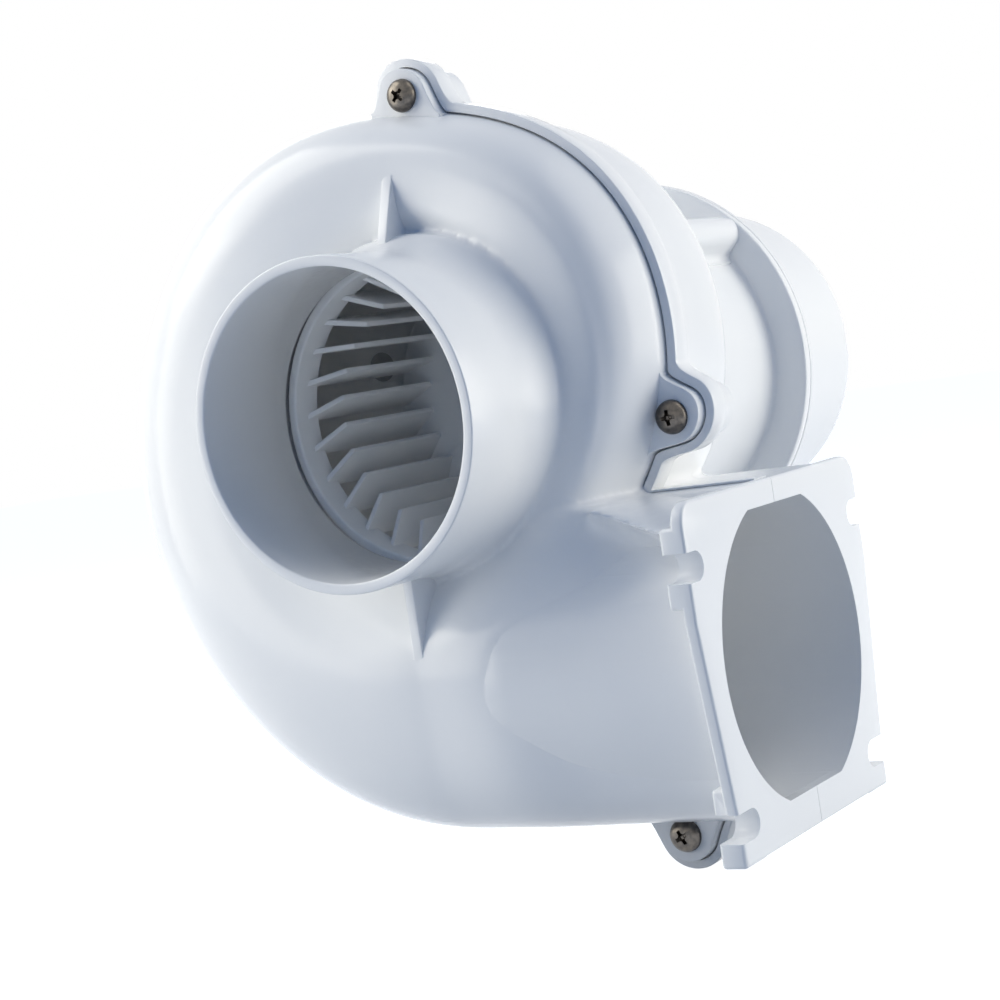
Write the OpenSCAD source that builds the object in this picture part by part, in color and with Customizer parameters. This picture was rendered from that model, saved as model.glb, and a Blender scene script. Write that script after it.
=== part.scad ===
// Flange-mounted centrifugal air blower with a hose collar, a two-part scroll casing and a DC motor.
// The axis of the fan is the Y axis. The origin is the centre of the collar's rim, the air enters along +Y
// and leaves along +X through the outlet flange.

/* [Inlet collar] */
// Outer diameter of the collar that the inlet hose slips over
collar_od = 76; // [70:0.5:80]
// Wall of the collar
collar_wall = 2.5; // [1.8:0.1:3]
// Depth of the collar's bore, from the rim to the step in front of the fan
collar_len = 31; // [27:0.5:34]
// Length of the collar's straight outside, which the hose covers
hose_len = 18.5; // [15:0.5:18.5]
// How much the collar's radius grows between the hose and the casing
collar_draft = 0.9; // [0.5:0.1:1.2]

/* [Fan] */
// Outer diameter of the fan wheel
fan_od = 74.8; // [68:0.2:77]
// Number of blades
blade_count = 27; // [18:1:32]
// Radius of the blades' inner edges
blade_inner_r = 28.5; // [25:0.25:31]
// Lean of a blade from the radial direction, at its inner edge
blade_lean = 38; // [20:1:45]
// Thickness of a blade
blade_t = 1.3; // [1:0.1:1.6]
// Axial length of the wheel in front of its back disc
fan_len = 49.5; // [44:0.5:54]
// Angle of the first blade
blade_first_angle = -5.3; // [-13:0.1:13]
// Axial width of the wheel's front ring
fan_ring_w = 9; // [6:0.5:12]
// Thickness of the wheel's front ring
fan_ring_t = 2.4; // [1.8:0.1:3]
// Thickness of the back disc
fan_disc_t = 2.5; // [2:0.1:3.5]
// Gap between the collar's bore and the wheel
fan_gap = 3.5; // [2.5:0.1:5]
// Gap between the wheel's rim and the neck of the casing
fan_rim_gap = 1.3; // [1:0.1:2]
// Gap between the back disc and the casing's back wall
fan_back_gap = 1.5; // [1:0.1:3]

/* [Scroll] */
// Wall of both scroll halves
wall = 2.5; // [2:0.1:3]
// Distance from the collar's rim to the plane where the two halves part
parting_y = 55.4; // [53:0.2:58]
// Scroll radius where it starts, under the tongue
scroll_r_start = 50.5; // [49:0.5:53]
// Scroll radius at 3 o'clock
scroll_r_3 = 57.5; // [55:0.5:60]
// Scroll radius at half past 1
scroll_r_half_1 = 66.2; // [63:0.5:68]
// Scroll radius at 12 o'clock
scroll_r_12 = 70.8; // [68:0.5:75]
// Scroll radius at half past 10
scroll_r_half_10 = 85.7; // [80:0.5:88]
// Scroll radius at 9 o'clock
scroll_r_9 = 94.1; // [90:0.5:97]
// Scroll radius at half past 7
scroll_r_half_7 = 99.9; // [97:0.5:102]
// Squareness of the rear half's outer corner
rear_squareness = 5; // [3:0.5:6]
// Thickness of a stiffening rib
rib_t = 2.6; // [2:0.1:4]

/* [Front face] */
// Height of the front face over the parting plane where the scroll starts
crest_start = 25.5; // [24.5:0.1:26]
// Height of the front face at 3 o'clock
crest_3 = 20.5; // [19.5:0.1:21.5]
// Height of the front face at half past 1
crest_half_1 = 18.5; // [17.5:0.1:19.5]
// Height of the front face at 12 o'clock
crest_12 = 17.5; // [16.5:0.1:19]
// Height of the front face at half past 10
crest_half_10 = 24; // [22.5:0.1:25.5]
// Height of the front face at 9 o'clock
crest_9 = 30; // [28.5:0.1:31.5]
// Height of the front face at half past 7
crest_half_7 = 34; // [32.5:0.1:35]
// Height of the front face at 6 o'clock
crest_6 = 36; // [35:0.1:36.8]
// Depth that a rib's tip is let into the face
rib_sink = 0.5; // [0.3:0.1:1]

/* [Joint of the halves] */
// Width of the rear half's lip round the front half
lip_w = 2.6; // [2:0.1:3.5]
// Width of the lip along the duct's upper wall
duct_lip_w = 0.8; // [0.5:0.1:1.5]
// Height of the lip in front of the parting plane
lip_rise = 2.4; // [1.5:0.1:3]
// Depth of the lip behind the parting plane
lip_back = 4; // [3:0.5:6]
// Clearance between the lip and the front half
lip_gap = 0.2; // [0.1:0.05:0.4]
// Radius of a screw ear on the front half
ear_r = 6.5; // [6:0.25:8]
// Distance of a screw's centre outside the scroll's wall
ear_offset = 4; // [3:0.25:5]
// How far an ear reaches into the scroll's wall
ear_root = 5; // [4:0.25:6]
// Height of a screw's seat in front of the parting plane
ear_t = 5.4; // [4:0.2:7]
// Length of a screw boss behind the parting plane
ear_boss_len = 13; // [12:0.5:18]

/* [Outlet] */
// Inner diameter of the outlet
outlet_id = 71; // [68:0.5:72]
// Distance from the fan's axis down to the outlet's axis
outlet_drop = 64.8; // [63:0.2:66]
// Distance from the fan's axis to the face of the outlet flange
outlet_reach = 78.6; // [76:0.2:84]
// Distance from the fan's axis to the round end of the outlet tube
outlet_nose = 26; // [25:0.5:30]
// Height of the flats in the outlet's mouth
outlet_mouth_h = 65.2; // [62:0.2:68]

/* [Flange] */
// Half width of the flange along its upper part
flange_half_w = 45; // [43:0.5:48]
// Half width of the flange at its lower edge
flange_foot_half_w = 38; // [36:0.5:42]
// Height above the outlet's axis where the flange's taper starts
flange_taper_z = 12.8; // [8:0.2:20]
// Reach of the flange below the outlet's axis
flange_foot = 41.2; // [40.5:0.2:44]
// Radius of the flange's upper corners
flange_corner_r = 5; // [3:0.5:8]
// Thickness of the flange's plate
flange_t = 3; // [2.4:0.1:4]
// Height of the duct's upper edge over the parting plane at the tongue, where its gusset to the flange starts
gusset_root = 29; // [27.5:0.1:30.5]
// Drop of the gusset's edge on its way to the flange
gusset_drop = 6.5; // [5:0.1:8]
// Thickness of the lugs round the slots
lug_t = 6; // [5:0.25:8]
// Width of a lug on each side of its slot
lug_arm = 5.5; // [4:0.25:7]
// Width of a bolt slot
slot_w = 6.5; // [5:0.1:7.5]
// Half distance between the tips of the upper slots
slot_upper_half = 38; // [37.5:0.5:40]
// Half distance between the tips of the lower slots
slot_lower_half = 30; // [29:0.5:32]
// Height of the upper slots above the outlet's axis
slot_upper_z = 24.5; // [22:0.5:26]
// Depth of the lower slots below the outlet's axis
slot_lower_z = 32.7; // [31:0.5:33.5]

/* [Motor housing] */
// Outer diameter of the motor housing and of its cover
housing_od = 84.6; // [82:0.2:88]
// Wall of the housing and its cover
housing_wall = 2.5; // [2:0.1:3.2]
// Length of the housing, from the casing's back wall to its ring
housing_len = 52; // [48:0.5:56]
// Width of the ring at the housing's end
ring_w = 9.2; // [9:0.1:11]
// Thickness of the ring
ring_t = 3; // [2.5:0.1:4]
// Number of screw bosses along the housing
boss_count = 3; // [3:1:4]
// Radius of a boss
boss_r = 4.6; // [4.4:0.1:4.8]
// Gap between a cover screw's head and the cover's drum
head_gap = 0.4; // [0.3:0.1:0.6]
// Thickness of the cover's flange
cover_flange_t = 1.8; // [1.5:0.1:3]
// Length of the cover behind the ring
cover_len = 53; // [48:0.5:60]
// Radius of the cover's rear edge
cover_edge_r = 8; // [5:0.5:10]
// Diameter of the cable grommet's hole
grommet_d = 10; // [8:0.5:12]

/* [Motor] */
// Outer diameter of the motor's steel can
can_od = 67; // [64:0.5:70]
// Wall of the can
can_wall = 2; // [1.5:0.1:2.2]
// Thickness of the motor's end plates
plate_t = 4; // [3.5:0.1:5]
// Diameter of the shaft
shaft_d = 8; // [7:0.1:9]
// Outer diameter of the bearings
bearing_od = 16; // [14.5:0.25:18]
// Length of a bearing
bearing_len = 8; // [7:0.25:9]
// Thickness of the field magnets
magnet_t = 6; // [5:0.25:7]
// Gap between the armature and the magnets
air_gap = 0.8; // [0.6:0.1:1]
// Length of the armature's core
core_len = 30; // [26:0.5:32]
// Number of armature slots
core_slots = 12; // [8:2:14]
// Diameter of the commutator
commutator_d = 20; // [18:0.5:22]
// Length of the commutator
commutator_len = 11; // [10:0.5:12]

/* [Fasteners] */
// Diameter of the casing and cover screws
screw_d = 4; // [3.5:0.1:4.5]
// Head diameter of the casing and cover screws
screw_head_d = 8; // [7:0.2:8.6]
// Head height of the casing and cover screws
screw_head_h = 2.6; // [2:0.1:3]
// Wall of a threaded insert
insert_wall = 1.2; // [1:0.1:1.4]
// Length of a threaded insert
insert_len = 8; // [6:0.5:10]
// Clearance round pieces that stay put
fit = 0.05; // [0.02:0.01:0.1]
// Radial clearance of the shaft in its bearings
running_fit = 0.03; // [0.02:0.01:0.06]

/* [Hidden] */
$fn = 64;
over = 1; // how far a cut runs past the face it opens
far = 300; // larger than the whole blower

casing_colour = "#e9eef2";
fan_colour = "#c9d2d6";
steel_colour = "#9aa0a6";
brass_colour = "#b79a5b";
copper_colour = "#a8673a";
dark_colour = "#33363a";

// Radii about the fan's axis
collar_r = collar_od / 2;
bore_r = collar_r - collar_wall;
fan_r = fan_od / 2;
neck_r = fan_r + fan_rim_gap;
neck_allowance = 0.3; // extra wall where the neck steps out behind the collar's bore
neck_outer_r = max(neck_r, bore_r) + wall + neck_allowance;
core_inset = 3.5; // how far the channel's inner edge lies inside the neck
core_r = neck_outer_r - core_inset;

// Places along the fan's axis
fan_front_y = collar_len + fan_gap;
disc_y = fan_front_y + fan_len;
back_inner_y = disc_y + fan_disc_t + fan_back_gap;
back_y = back_inner_y + wall;
rear_depth = back_y - parting_y;
ring_y = back_y + housing_len;
cover_y = ring_y + ring_t;
cover_end_y = cover_y + cover_len;

// Outlet
tube_ir = outlet_id / 2;
tube_r = tube_ir + wall;
outlet_z = -outlet_drop;
bottom_r = outlet_drop + tube_r; // the scroll's radius at 6 o'clock runs straight into the outlet
duct_top = outlet_drop - tube_r; // distance of the duct's upper wall below the fan's axis
duct_end_x = outlet_reach - flange_t;
tongue_x = 44;
straight_step = 6;
plain_end = 12; // the channel's inside ends this far before the flange, and the round bore goes on
seam = 0.1; // the straight duct starts this much inside the spiral

// The scroll's radii at every eighth of a turn, from the start below the tongue to 6 o'clock
first_angle = -45;
knot_step = 45;
last_angle = 270;
lip_end_angle = 90; // the lip runs from the outlet past the tongue to 12 o'clock
scroll_knots = [
    scroll_r_start, scroll_r_3, scroll_r_half_1, scroll_r_12, scroll_r_half_10, scroll_r_9, scroll_r_half_7, bottom_r
];
spiral_step = 7.5;
section_step = 15;

// The front face at the same places: its height at the crest, how far it falls towards the collar, how far the
// side wall leans in, how high its upright foot is, how sharply the face turns into that wall, and the crest's place
// across the channel
crest_knots = [
    crest_start, crest_3, crest_half_1, crest_12, crest_half_10, crest_9, crest_half_7, crest_6
];
valley_knots = [0, 0, 2, 9.3, 13, 14, 14, 14];
lean_knots = [4, 8, 7.5, 4.5, 1, 0, 0, 0];
foot_knots = [5, 5, 4, 2, 0, 0, 0, 0];
turn_knots = [4, 3.5, 2.5, 1.2, 0.75, 0.72, 0.9, 1.5];
place_knots = [0.2, 0.2, 0.4, 0.5, 0.5, 0.5, 0.45, 0.37];

// The front face along the duct, from one step before 6 o'clock: its rise over 6 o'clock, and its fall to the edge
duct_knot_step = 20;
duct_rise_knots = [-1, 0, 1.9, -0.6, -2.2, -2.6];
duct_valley_knots = [14, 14, 14.9, 8.4, 13.8, 15.4];
duct_turn = 1.5;
duct_crest_z = 62; // the crest's distance below the fan's axis
gusset_reach = 10; // how far the gusset runs down the duct's front wall
gusset_sweep = 2.2; // hollowness of the gusset
gusset_lead = 6; // the gusset starts this far before the tongue

// A curve through evenly spaced knots, with one knot added past each end so that it leaves the last one level
function knot(k, i) =
    let (last = len(k) - 1)
    i < 0 ? 2 * k[0] - k[1] : i > last ? k[last - 1] : k[i];
function curve(p0, p1, p2, p3, t) =
    0.5 * (2 * p1 + (p2 - p0) * t + (2 * p0 - 5 * p1 + 4 * p2 - p3) * pow(t, 2)
        + (3 * p1 - p0 - 3 * p2 + p3) * pow(t, 3));
function through(k, s) =
    let (i = max(0, min(floor(s), len(k) - 2)))
    curve(knot(k, i - 1), k[i], k[i + 1], knot(k, i + 2), s - i);
function around_scroll(k, angle) = through(k, (angle - first_angle) / knot_step);
function along_duct(k, x) = through(k, max(0, x) / duct_knot_step + 1);
function scroll_r(angle) = around_scroll(scroll_knots, angle);
function front_crest(angle) = around_scroll(crest_knots, angle);

function smooth(t) = let (c = max(0, min(1, t))) c * c * (3 - 2 * c);
function mix(a, b, t) = a + (b - a) * t;
function power(c, n) = sign(c) * pow(abs(c), 2 / n);

// Stations along the spiral and along the straight duct: shift along X, angle, outer radius, way to the tongue
spiral_stations = [for (a = [first_angle : spiral_step : last_angle]) [0, a, scroll_r(a), 0]];
function duct_stations(end_x) = concat(
    [for (x = [-over, each [straight_step : straight_step : end_x - over]])
        [x, last_angle, bottom_r - seam, smooth(x / tongue_x)]],
    [[end_x, last_angle, bottom_r - seam, 1]]
);

// Sections are points of radius and height over the parting plane, with a skirt past that plane.
// A face climbs from its valley to its crest, then a conic turns it at a corner into the side wall.
face_steps = 10;
turn_steps = 10;
function climb(crest, valley, t) = crest - (crest - valley) * (1 - t) * (1 - t);
function turned_down(start, corner, outer, crest, foot, pull) = [
    for (i = [0 : turn_steps])
        let (u = i / turn_steps, a = (1 - u) * (1 - u), b = 2 * pull * u * (1 - u), c = u * u)
        [a * start + b * corner + c * outer, (a + b) * crest + c * foot] / (a + b + c)
];
function spiral_section(angle, inner, outer, inset) =
    let (
        crest = front_crest(angle) - inset,
        valley = crest - around_scroll(valley_knots, angle),
        start = mix(inner, outer, around_scroll(place_knots, angle)),
        corner = outer - around_scroll(lean_knots, angle),
        foot = around_scroll(foot_knots, angle)
    )
    concat(
        [[inner, -lip_rise]],
        [for (i = [0 : face_steps - 1]) let (t = i / face_steps) [mix(inner, start, t), climb(crest, valley, t)]],
        turned_down(start, corner, outer, crest, foot, around_scroll(turn_knots, angle)),
        [[outer, -lip_rise]]
    );
function duct_section(x, inner, outer, inset) =
    let (
        crest = crest_6 + along_duct(duct_rise_knots, x) - inset,
        valley = crest - along_duct(duct_valley_knots, x),
        way = (x - tongue_x) / (duct_end_x - tongue_x),
        edge = inset > 0 ? 0 : smooth((x - tongue_x + gusset_lead) / (2 * gusset_lead)),
        gusset = edge * max(0, mix(gusset_root, flange_half_w - over, way) - valley),
        drop = edge * gusset_drop * smooth(way)
    )
    concat(
        [[inner, -lip_rise]],
        [for (i = [0 : face_steps - 1])
            let (
                t = pow(i / face_steps, 1.5),
                z = mix(inner + drop, duct_crest_z, t),
                u = min(1, (z - inner - drop) / gusset_reach)
            )
            [z, climb(crest, valley, t) + gusset * pow(1 - u, gusset_sweep)]],
        turned_down(duct_crest_z, outer, outer, crest, 0, duct_turn),
        [[outer, -lip_rise]]
    );
function rear_section(inner, outer, depth) =
    let (mid = (inner + outer) / 2, half = (outer - inner) / 2)
    concat(
        [[inner, -lip_rise]],
        [for (a = [0 : section_step : 180])
            [mid - half * power(cos(a), rear_squareness), depth * (a < 90 ? 1 : power(sin(a), rear_squareness))]],
        [[outer, -lip_rise]]
    );

// Loft through a list of rings with the same number of points
module loft(rings) {
    n = len(rings[0]);
    last = len(rings) - 1;
    polyhedron(
        points = [for (r = rings) each r],
        faces = concat(
            [[for (i = [n - 1 : -1 : 0]) i]],
            [for (j = [0 : last - 1], i = [0 : n - 1])
                let (k = (i + 1) % n) each [
                    [j * n + i, j * n + k, (j + 1) * n + k],
                    [j * n + i, (j + 1) * n + k, (j + 1) * n + i]
                ]],
            [[for (i = [0 : n - 1]) last * n + i]]
        )
    );
}

// One half of the channel's solid: side is -1 for the front half and 1 for the rear half
module channel_part(side, path, inset) {
    core = core_r - (inset > 0 ? over : 0);
    rings = [for (s = path)
        let (
            inner = mix(core, duct_top + inset + seam, s[3]),
            outer = s[2] - inset,
            points = side > 0 ? rear_section(inner, outer, rear_depth - seam - inset)
                : s[1] < last_angle || s[0] == 0 ? spiral_section(s[1], inner, outer, inset)
                : duct_section(s[0], inner, outer, inset)
        )
        [for (p = side > 0 ? points : [for (i = [len(points) - 1 : -1 : 0]) points[i]])
            [s[0] + p[0] * cos(s[1]), parting_y + side * p[1], p[0] * sin(s[1])]]];
    loft(rings);
}
module channel(side, end_x, inset) {
    channel_part(side, spiral_stations, inset);
    channel_part(side, duct_stations(end_x), inset);
}

// Helpers that build along the fan's axis
module rod(r, y0, y1, x = 0, z = 0) {
    translate([x, y1, z]) rotate([90, 0, 0]) cylinder(r = r, h = y1 - y0);
}
module tube_y(r_in, r_out, y0, y1, x = 0, z = 0) {
    difference() {
        rod(r_out, y0, y1, x, z);
        rod(r_in, y0 - over, y1 + over, x, z);
    }
}
module turned(points) {
    rotate([-90, 0, 0]) rotate_extrude() polygon(points);
}
module around(count, first = 0) {
    for (i = [0 : count - 1]) rotate([0, -first - i * 360 / count, 0]) children();
}
function arc(cx, cy, r, a0, a1, steps = 8) =
    [for (i = [0 : steps]) let (a = mix(a0, a1, i / steps)) [cx + r * cos(a), cy + r * sin(a)]];

// The scroll's outline up to an angle, grown by d, between two planes
module outline(d, y0, y1, end_angle) {
    rim = [for (a = [first_angle : spiral_step : end_angle]) (scroll_r(a) + d) * [cos(a), sin(a)]];
    translate([0, y1, 0]) rotate([90, 0, 0]) linear_extrude(y1 - y0) polygon(concat([[0, 0]], rim));
}
// The straight duct's outline, grown by d, between two planes, from its upper wall down to a depth
module duct_outline(d, y0, y1, depth) {
    translate([0, y0, -duct_top - depth]) cube([duct_end_x, y1 - y0, depth + d]);
}

// Round outlet tube with a domed inner end, along X
module outlet_tube(r, end_x) {
    translate([outlet_nose, parting_y, outlet_z]) {
        sphere(r = r);
        rotate([0, 90, 0]) cylinder(r = r, h = end_x - outlet_nose);
    }
}

// Mouth of the outlet: a round hole with a flat above and below
module outlet_mouth() {
    intersection() {
        translate([duct_end_x - over, parting_y, outlet_z]) rotate([0, 90, 0])
            cylinder(r = tube_ir, h = flange_t + 2 * over);
        translate([duct_end_x - over, parting_y - tube_ir, outlet_z - outlet_mouth_h / 2])
            cube([flange_t + 2 * over, outlet_id, outlet_mouth_h]);
    }
}

// Flange plate with four lugs, in both halves at once
module flange() {
    half = flange_half_w;
    c = flange_corner_r;
    top = tube_r + 0.3;
    profile = concat(
        arc(half - c, top - c, c, 0, 90),
        arc(-half + c, top - c, c, 90, 180),
        [[-half, flange_taper_z], [-flange_foot_half_w, -flange_foot],
         [flange_foot_half_w, -flange_foot], [half, flange_taper_z]]
    );
    translate([duct_end_x, parting_y, outlet_z]) rotate([90, 0, 90]) linear_extrude(flange_t) polygon(profile);
}

function foot_half_w(z) =
    mix(flange_half_w, flange_foot_half_w, (flange_taper_z - z) / (flange_taper_z + flange_foot));

// Puts a child at the tip of each bolt slot, turned so that +Y points out of the slot
module at_slots() {
    for (side = [-1, 1])
        translate([outlet_reach, parting_y, outlet_z]) mirror([0, side < 0 ? 1 : 0, 0]) {
            translate([0, slot_upper_half, slot_upper_z]) children(0);
            translate([0, slot_lower_half, -slot_lower_z]) children(1);
        }
}
module lug(reach) {
    height = slot_w + 2 * lug_arm;
    translate([-lug_t, -over, -height / 2]) cube([lug_t, reach + over, height]);
}
module slot() {
    translate([-lug_t - over, slot_w / 2, 0]) rotate([0, 90, 0]) cylinder(r = slot_w / 2, h = lug_t + 2 * over);
    translate([-lug_t - over, slot_w / 2, -slot_w / 2]) cube([lug_t + 2 * over, far, slot_w]);
}
module lugs() {
    at_slots() {
        lug(flange_half_w - slot_upper_half);
        lug(foot_half_w(-slot_lower_z) - slot_lower_half);
    }
}
module slots() {
    at_slots() {
        slot();
        slot();
    }
}

// Screw ears: at 12 o'clock, beside the tongue and below the duct, each with the direction to its wall
right_ear_angle = -9.6;
bottom_ear_x = 46.3;
right_ear_r = scroll_r(right_ear_angle) + ear_offset;
ears = [
    [0, scroll_r_12 + ear_offset, -90],
    [right_ear_r * cos(right_ear_angle), right_ear_r * sin(right_ear_angle), 180 + right_ear_angle],
    [bottom_ear_x, -bottom_r - ear_offset, 90]
];
seat_y = parting_y - ear_t;

module at_ears() {
    for (e = ears) translate([e[0], 0, e[1]]) rotate([0, -e[2], 0]) children();
}
ear_flare = 3; // how much wider an ear gets on its way to the wall
module ear(r, y0, y1) {
    foot = ear_offset + ear_root;
    w = r + ear_flare;
    rod(r, y0, y1);
    translate([0, y1, 0]) rotate([90, 0, 0]) linear_extrude(y1 - y0)
        polygon([[0, -r], [ear_offset, -w], [foot, -w], [foot, w], [ear_offset, w], [0, r]]);
}

// Ribs between the collar and the front face: angle, start on the collar, tip radius
ribs = [[90, 30.8, 56.5], [180, 24.5, 64], [270, 19.3, 63]];
module front_rib(angle, start_y, tip_r) {
    root_y = parting_y - over;
    rotate([0, -angle, 0]) translate([0, 0, -rib_t / 2]) linear_extrude(rib_t)
        polygon([
            [collar_r - collar_wall / 2, start_y], [tip_r, parting_y - front_crest(angle) + rib_sink],
            [tip_r, root_y], [collar_r - collar_wall / 2, root_y]
        ]);
}

collar_edge = 0.4;
collar_root_r = collar_r + collar_draft;
flare_lead = 0.5; // the collar starts to flare this far in front of its inner step
flare_len = 5;
flare_rise = neck_outer_r - collar_root_r;
flare_r = (flare_len * flare_len + flare_rise * flare_rise) / (2 * flare_rise);
module collar() {
    turned(concat(
        [[bore_r - over, collar_edge], [bore_r, 0], [collar_r - collar_edge, 0], [collar_r, collar_edge],
         [collar_r, collar_edge + hose_len]],
        arc(collar_root_r + flare_r, collar_len - flare_lead, flare_r, 180, 180 - asin(flare_len / flare_r)),
        [[neck_outer_r, parting_y + over], [bore_r - over, parting_y + over]]
    ));
}

// Room for the fan behind the collar's bore, with a sloped step
module neck() {
    turned([
        [0, collar_len], [bore_r, collar_len], [neck_r, collar_len + neck_r - bore_r], [neck_r, parting_y + 2 * over],
        [0, parting_y + 2 * over]
    ]);
}

module front_casing() {
    color(casing_colour) difference() {
        union() {
            channel(-1, duct_end_x + over, 0);
            collar();
            outlet_tube(tube_r, outlet_reach - over);
            flange();
            lugs();
            at_ears() ear(ear_r, seat_y, parting_y + over);
            for (r = ribs) front_rib(r[0], r[1], r[2]);
        }
        channel(-1, duct_end_x - plain_end, wall);
        rod(bore_r, -over, parting_y);
        neck();
        outlet_tube(tube_ir, duct_end_x);
        outlet_mouth();
        slots();
        at_ears() rod(screw_d / 2 + 3 * fit, 0, parting_y + over);
        translate([-far / 2, parting_y, -far / 2]) cube(far);
    }
}

ear_boss_r = ear_r + lip_w;
insert_r = screw_d / 2 + insert_wall;
insert_guide = 2.5; // the boss keeps a short guide in front of the insert
insert_y = parting_y + insert_guide;
boss_first_angle = 45;
motor_screw_r = 22;
motor_screw_d = 4;
pilot_wall = 3; // wall of the bearing seats in the motor's end plates
pilot_r = bearing_od / 2 + pilot_wall;
csk_depth = wall - 0.6;

housing_r = housing_od / 2;
boss_circle_r = housing_r + screw_head_d / 2 + head_gap;
module at_bosses() {
    around(boss_count, boss_first_angle) translate([boss_circle_r, 0, 0]) children();
}
module at_motor_screws() {
    around(2, 0) translate([motor_screw_r, 0, 0]) children();
}
// Countersunk hole or head whose flat face lies at y0
module countersink(r, y0, gap) {
    translate([0, y0, 0]) rotate([-90, 0, 0]) {
        cylinder(r1 = r + csk_depth + gap, r2 = r + gap, h = csk_depth);
    }
}

module rear_casing() {
    color(casing_colour) difference() {
        union() {
            channel(1, duct_end_x + over, 0);
            rod(neck_outer_r, parting_y - over, back_y);
            outline(lip_w, parting_y - lip_rise, parting_y + lip_back, lip_end_angle);
            duct_outline(duct_lip_w, parting_y - lip_rise, parting_y + lip_back, wall);
            outlet_tube(tube_r, outlet_reach - over);
            flange();
            lugs();
            at_ears() {
                ear(ear_boss_r, parting_y - lip_rise, parting_y + lip_back);
                ear(ear_r, parting_y, parting_y + ear_boss_len);
            }
        }
        channel(1, duct_end_x - plain_end, wall);
        rod(neck_outer_r - wall, 0, back_inner_y);
        outlet_tube(tube_ir, duct_end_x);
        outlet_mouth();
        slots();
        outline(lip_gap, 0, parting_y, last_angle);
        duct_outline(lip_gap, 0, parting_y, bottom_r - duct_top + lip_gap);
        at_ears() {
            ear(ear_r + lip_gap, 0, parting_y);
            rod(screw_d / 2 + 3 * fit, 0, insert_y + over);
            rod(insert_r + fit, 0, insert_y + insert_len);
        }
        translate([duct_end_x - lug_t, parting_y - far, -far]) cube([far, far, 2 * far]);
        rod(pilot_r + fit, 0, back_y + over);
        at_motor_screws() {
            rod(motor_screw_d / 2 + 2 * fit, back_inner_y, back_y + over);
            countersink(motor_screw_d / 2, back_inner_y, 2 * fit);
        }
        at_bosses() {
            rod(screw_d / 2 + 2 * fit, back_inner_y - 2 * over, back_y + over);
            countersink(screw_d / 2, back_inner_y, 2 * fit);
        }
    }
}

// A pan-head screw along +Y with its seat at y = 0
head_round = 1.2;
screw_tip = 0.5;
recess_len = 4;
recess_w = 1;
recess_depth = 1.4;
module pan_screw(len) {
    turned(concat(
        [[0, -screw_head_h]],
        arc(screw_head_d / 2 - head_round, -screw_head_h + head_round, head_round, -90, 0, 4),
        [[screw_head_d / 2, 0], [screw_d / 2, 0], [screw_d / 2, len - screw_tip], [screw_d / 2 - screw_tip, len],
         [0, len]]
    ));
}
module cross_recess() {
    for (turn = [45, 135]) rotate([0, turn, 0]) translate([-recess_len / 2, -screw_head_h - over, -recess_w / 2])
        cube([recess_len, recess_depth + over, recess_w]);
}
module driven_screw(len) {
    difference() {
        pan_screw(len);
        cross_recess();
    }
}
module insert(y0) {
    tube_y(screw_d / 2 + fit, insert_r, y0, y0 + insert_len);
}

module casing_screws() {
    color(steel_colour) at_ears() translate([0, seat_y, 0]) driven_screw(insert_y + insert_len - seat_y);
}
module casing_inserts() {
    color(brass_colour) at_ears() insert(insert_y);
}

ring_r = housing_r + ring_w;
housing_ir = housing_r - housing_wall;
pilot_hole_len = 14;
cover_insert_y = cover_y - insert_len;

module motor_housing() {
    color(casing_colour) difference() {
        union() {
            rod(housing_r, back_y, cover_y);
            rod(ring_r, ring_y, cover_y);
            at_bosses() {
                rod(boss_r, back_y, cover_y);
                translate([housing_r - boss_circle_r - housing_wall / 2, back_y, -boss_r])
                    cube([boss_circle_r - housing_r + housing_wall / 2, cover_y - back_y, 2 * boss_r]);
            }
        }
        rod(housing_ir, back_y - over, cover_y + over);
        at_bosses() {
            rod(screw_d / 2 + fit, back_y - over, back_y + pilot_hole_len);
            rod(insert_r + fit, cover_insert_y, cover_y + over);
        }
    }
}
module housing_screws() {
    color(steel_colour) at_bosses() {
        countersink(screw_d / 2, back_inner_y, 0);
        rod(screw_d / 2, back_inner_y, back_y + pilot_hole_len - 2);
    }
}

cover_flange_y = cover_y + cover_flange_t;
grommet_r = grommet_d / 2;
grommet_drop = 24;
module motor_cover() {
    e = cover_edge_r;
    color(casing_colour) difference() {
        turned(concat(
            [[0, cover_y], [ring_r, cover_y], [ring_r, cover_flange_y], [housing_r, cover_flange_y]],
            arc(housing_r - e, cover_end_y - e, e, 0, 90),
            [[0, cover_end_y]]
        ));
        turned(concat(
            [[0, cover_y - over], [housing_ir, cover_y - over]],
            arc(housing_r - e, cover_end_y - e, e - housing_wall, 0, 90),
            [[0, cover_end_y - housing_wall]]
        ));
        at_bosses() rod(screw_d / 2 + 2 * fit, cover_y - over, cover_flange_y + over);
        rod(grommet_r + fit, cover_end_y - housing_wall - over, cover_end_y + over, z = -grommet_drop);
    }
}
module cover_screws() {
    color(steel_colour) at_bosses() translate([0, cover_flange_y, 0]) mirror([0, 1, 0])
        driven_screw(cover_flange_t + insert_len);
}
module cover_inserts() {
    color(brass_colour) at_bosses() insert(cover_insert_y);
}
module cable_grommet() {
    inner_y = cover_end_y - housing_wall;
    lip_r = grommet_r + 2;
    lip_t = 2;
    color(dark_colour) translate([0, 0, -grommet_drop]) turned([
        [grommet_r - 2.5, inner_y - lip_t], [lip_r, inner_y - lip_t], [lip_r, inner_y - fit],
        [grommet_r, inner_y - fit],
        [grommet_r, cover_end_y + fit], [lip_r, cover_end_y + fit], [lip_r - 1, cover_end_y + lip_t],
        [grommet_r - 2.5, cover_end_y + lip_t]
    ]);
}

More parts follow.
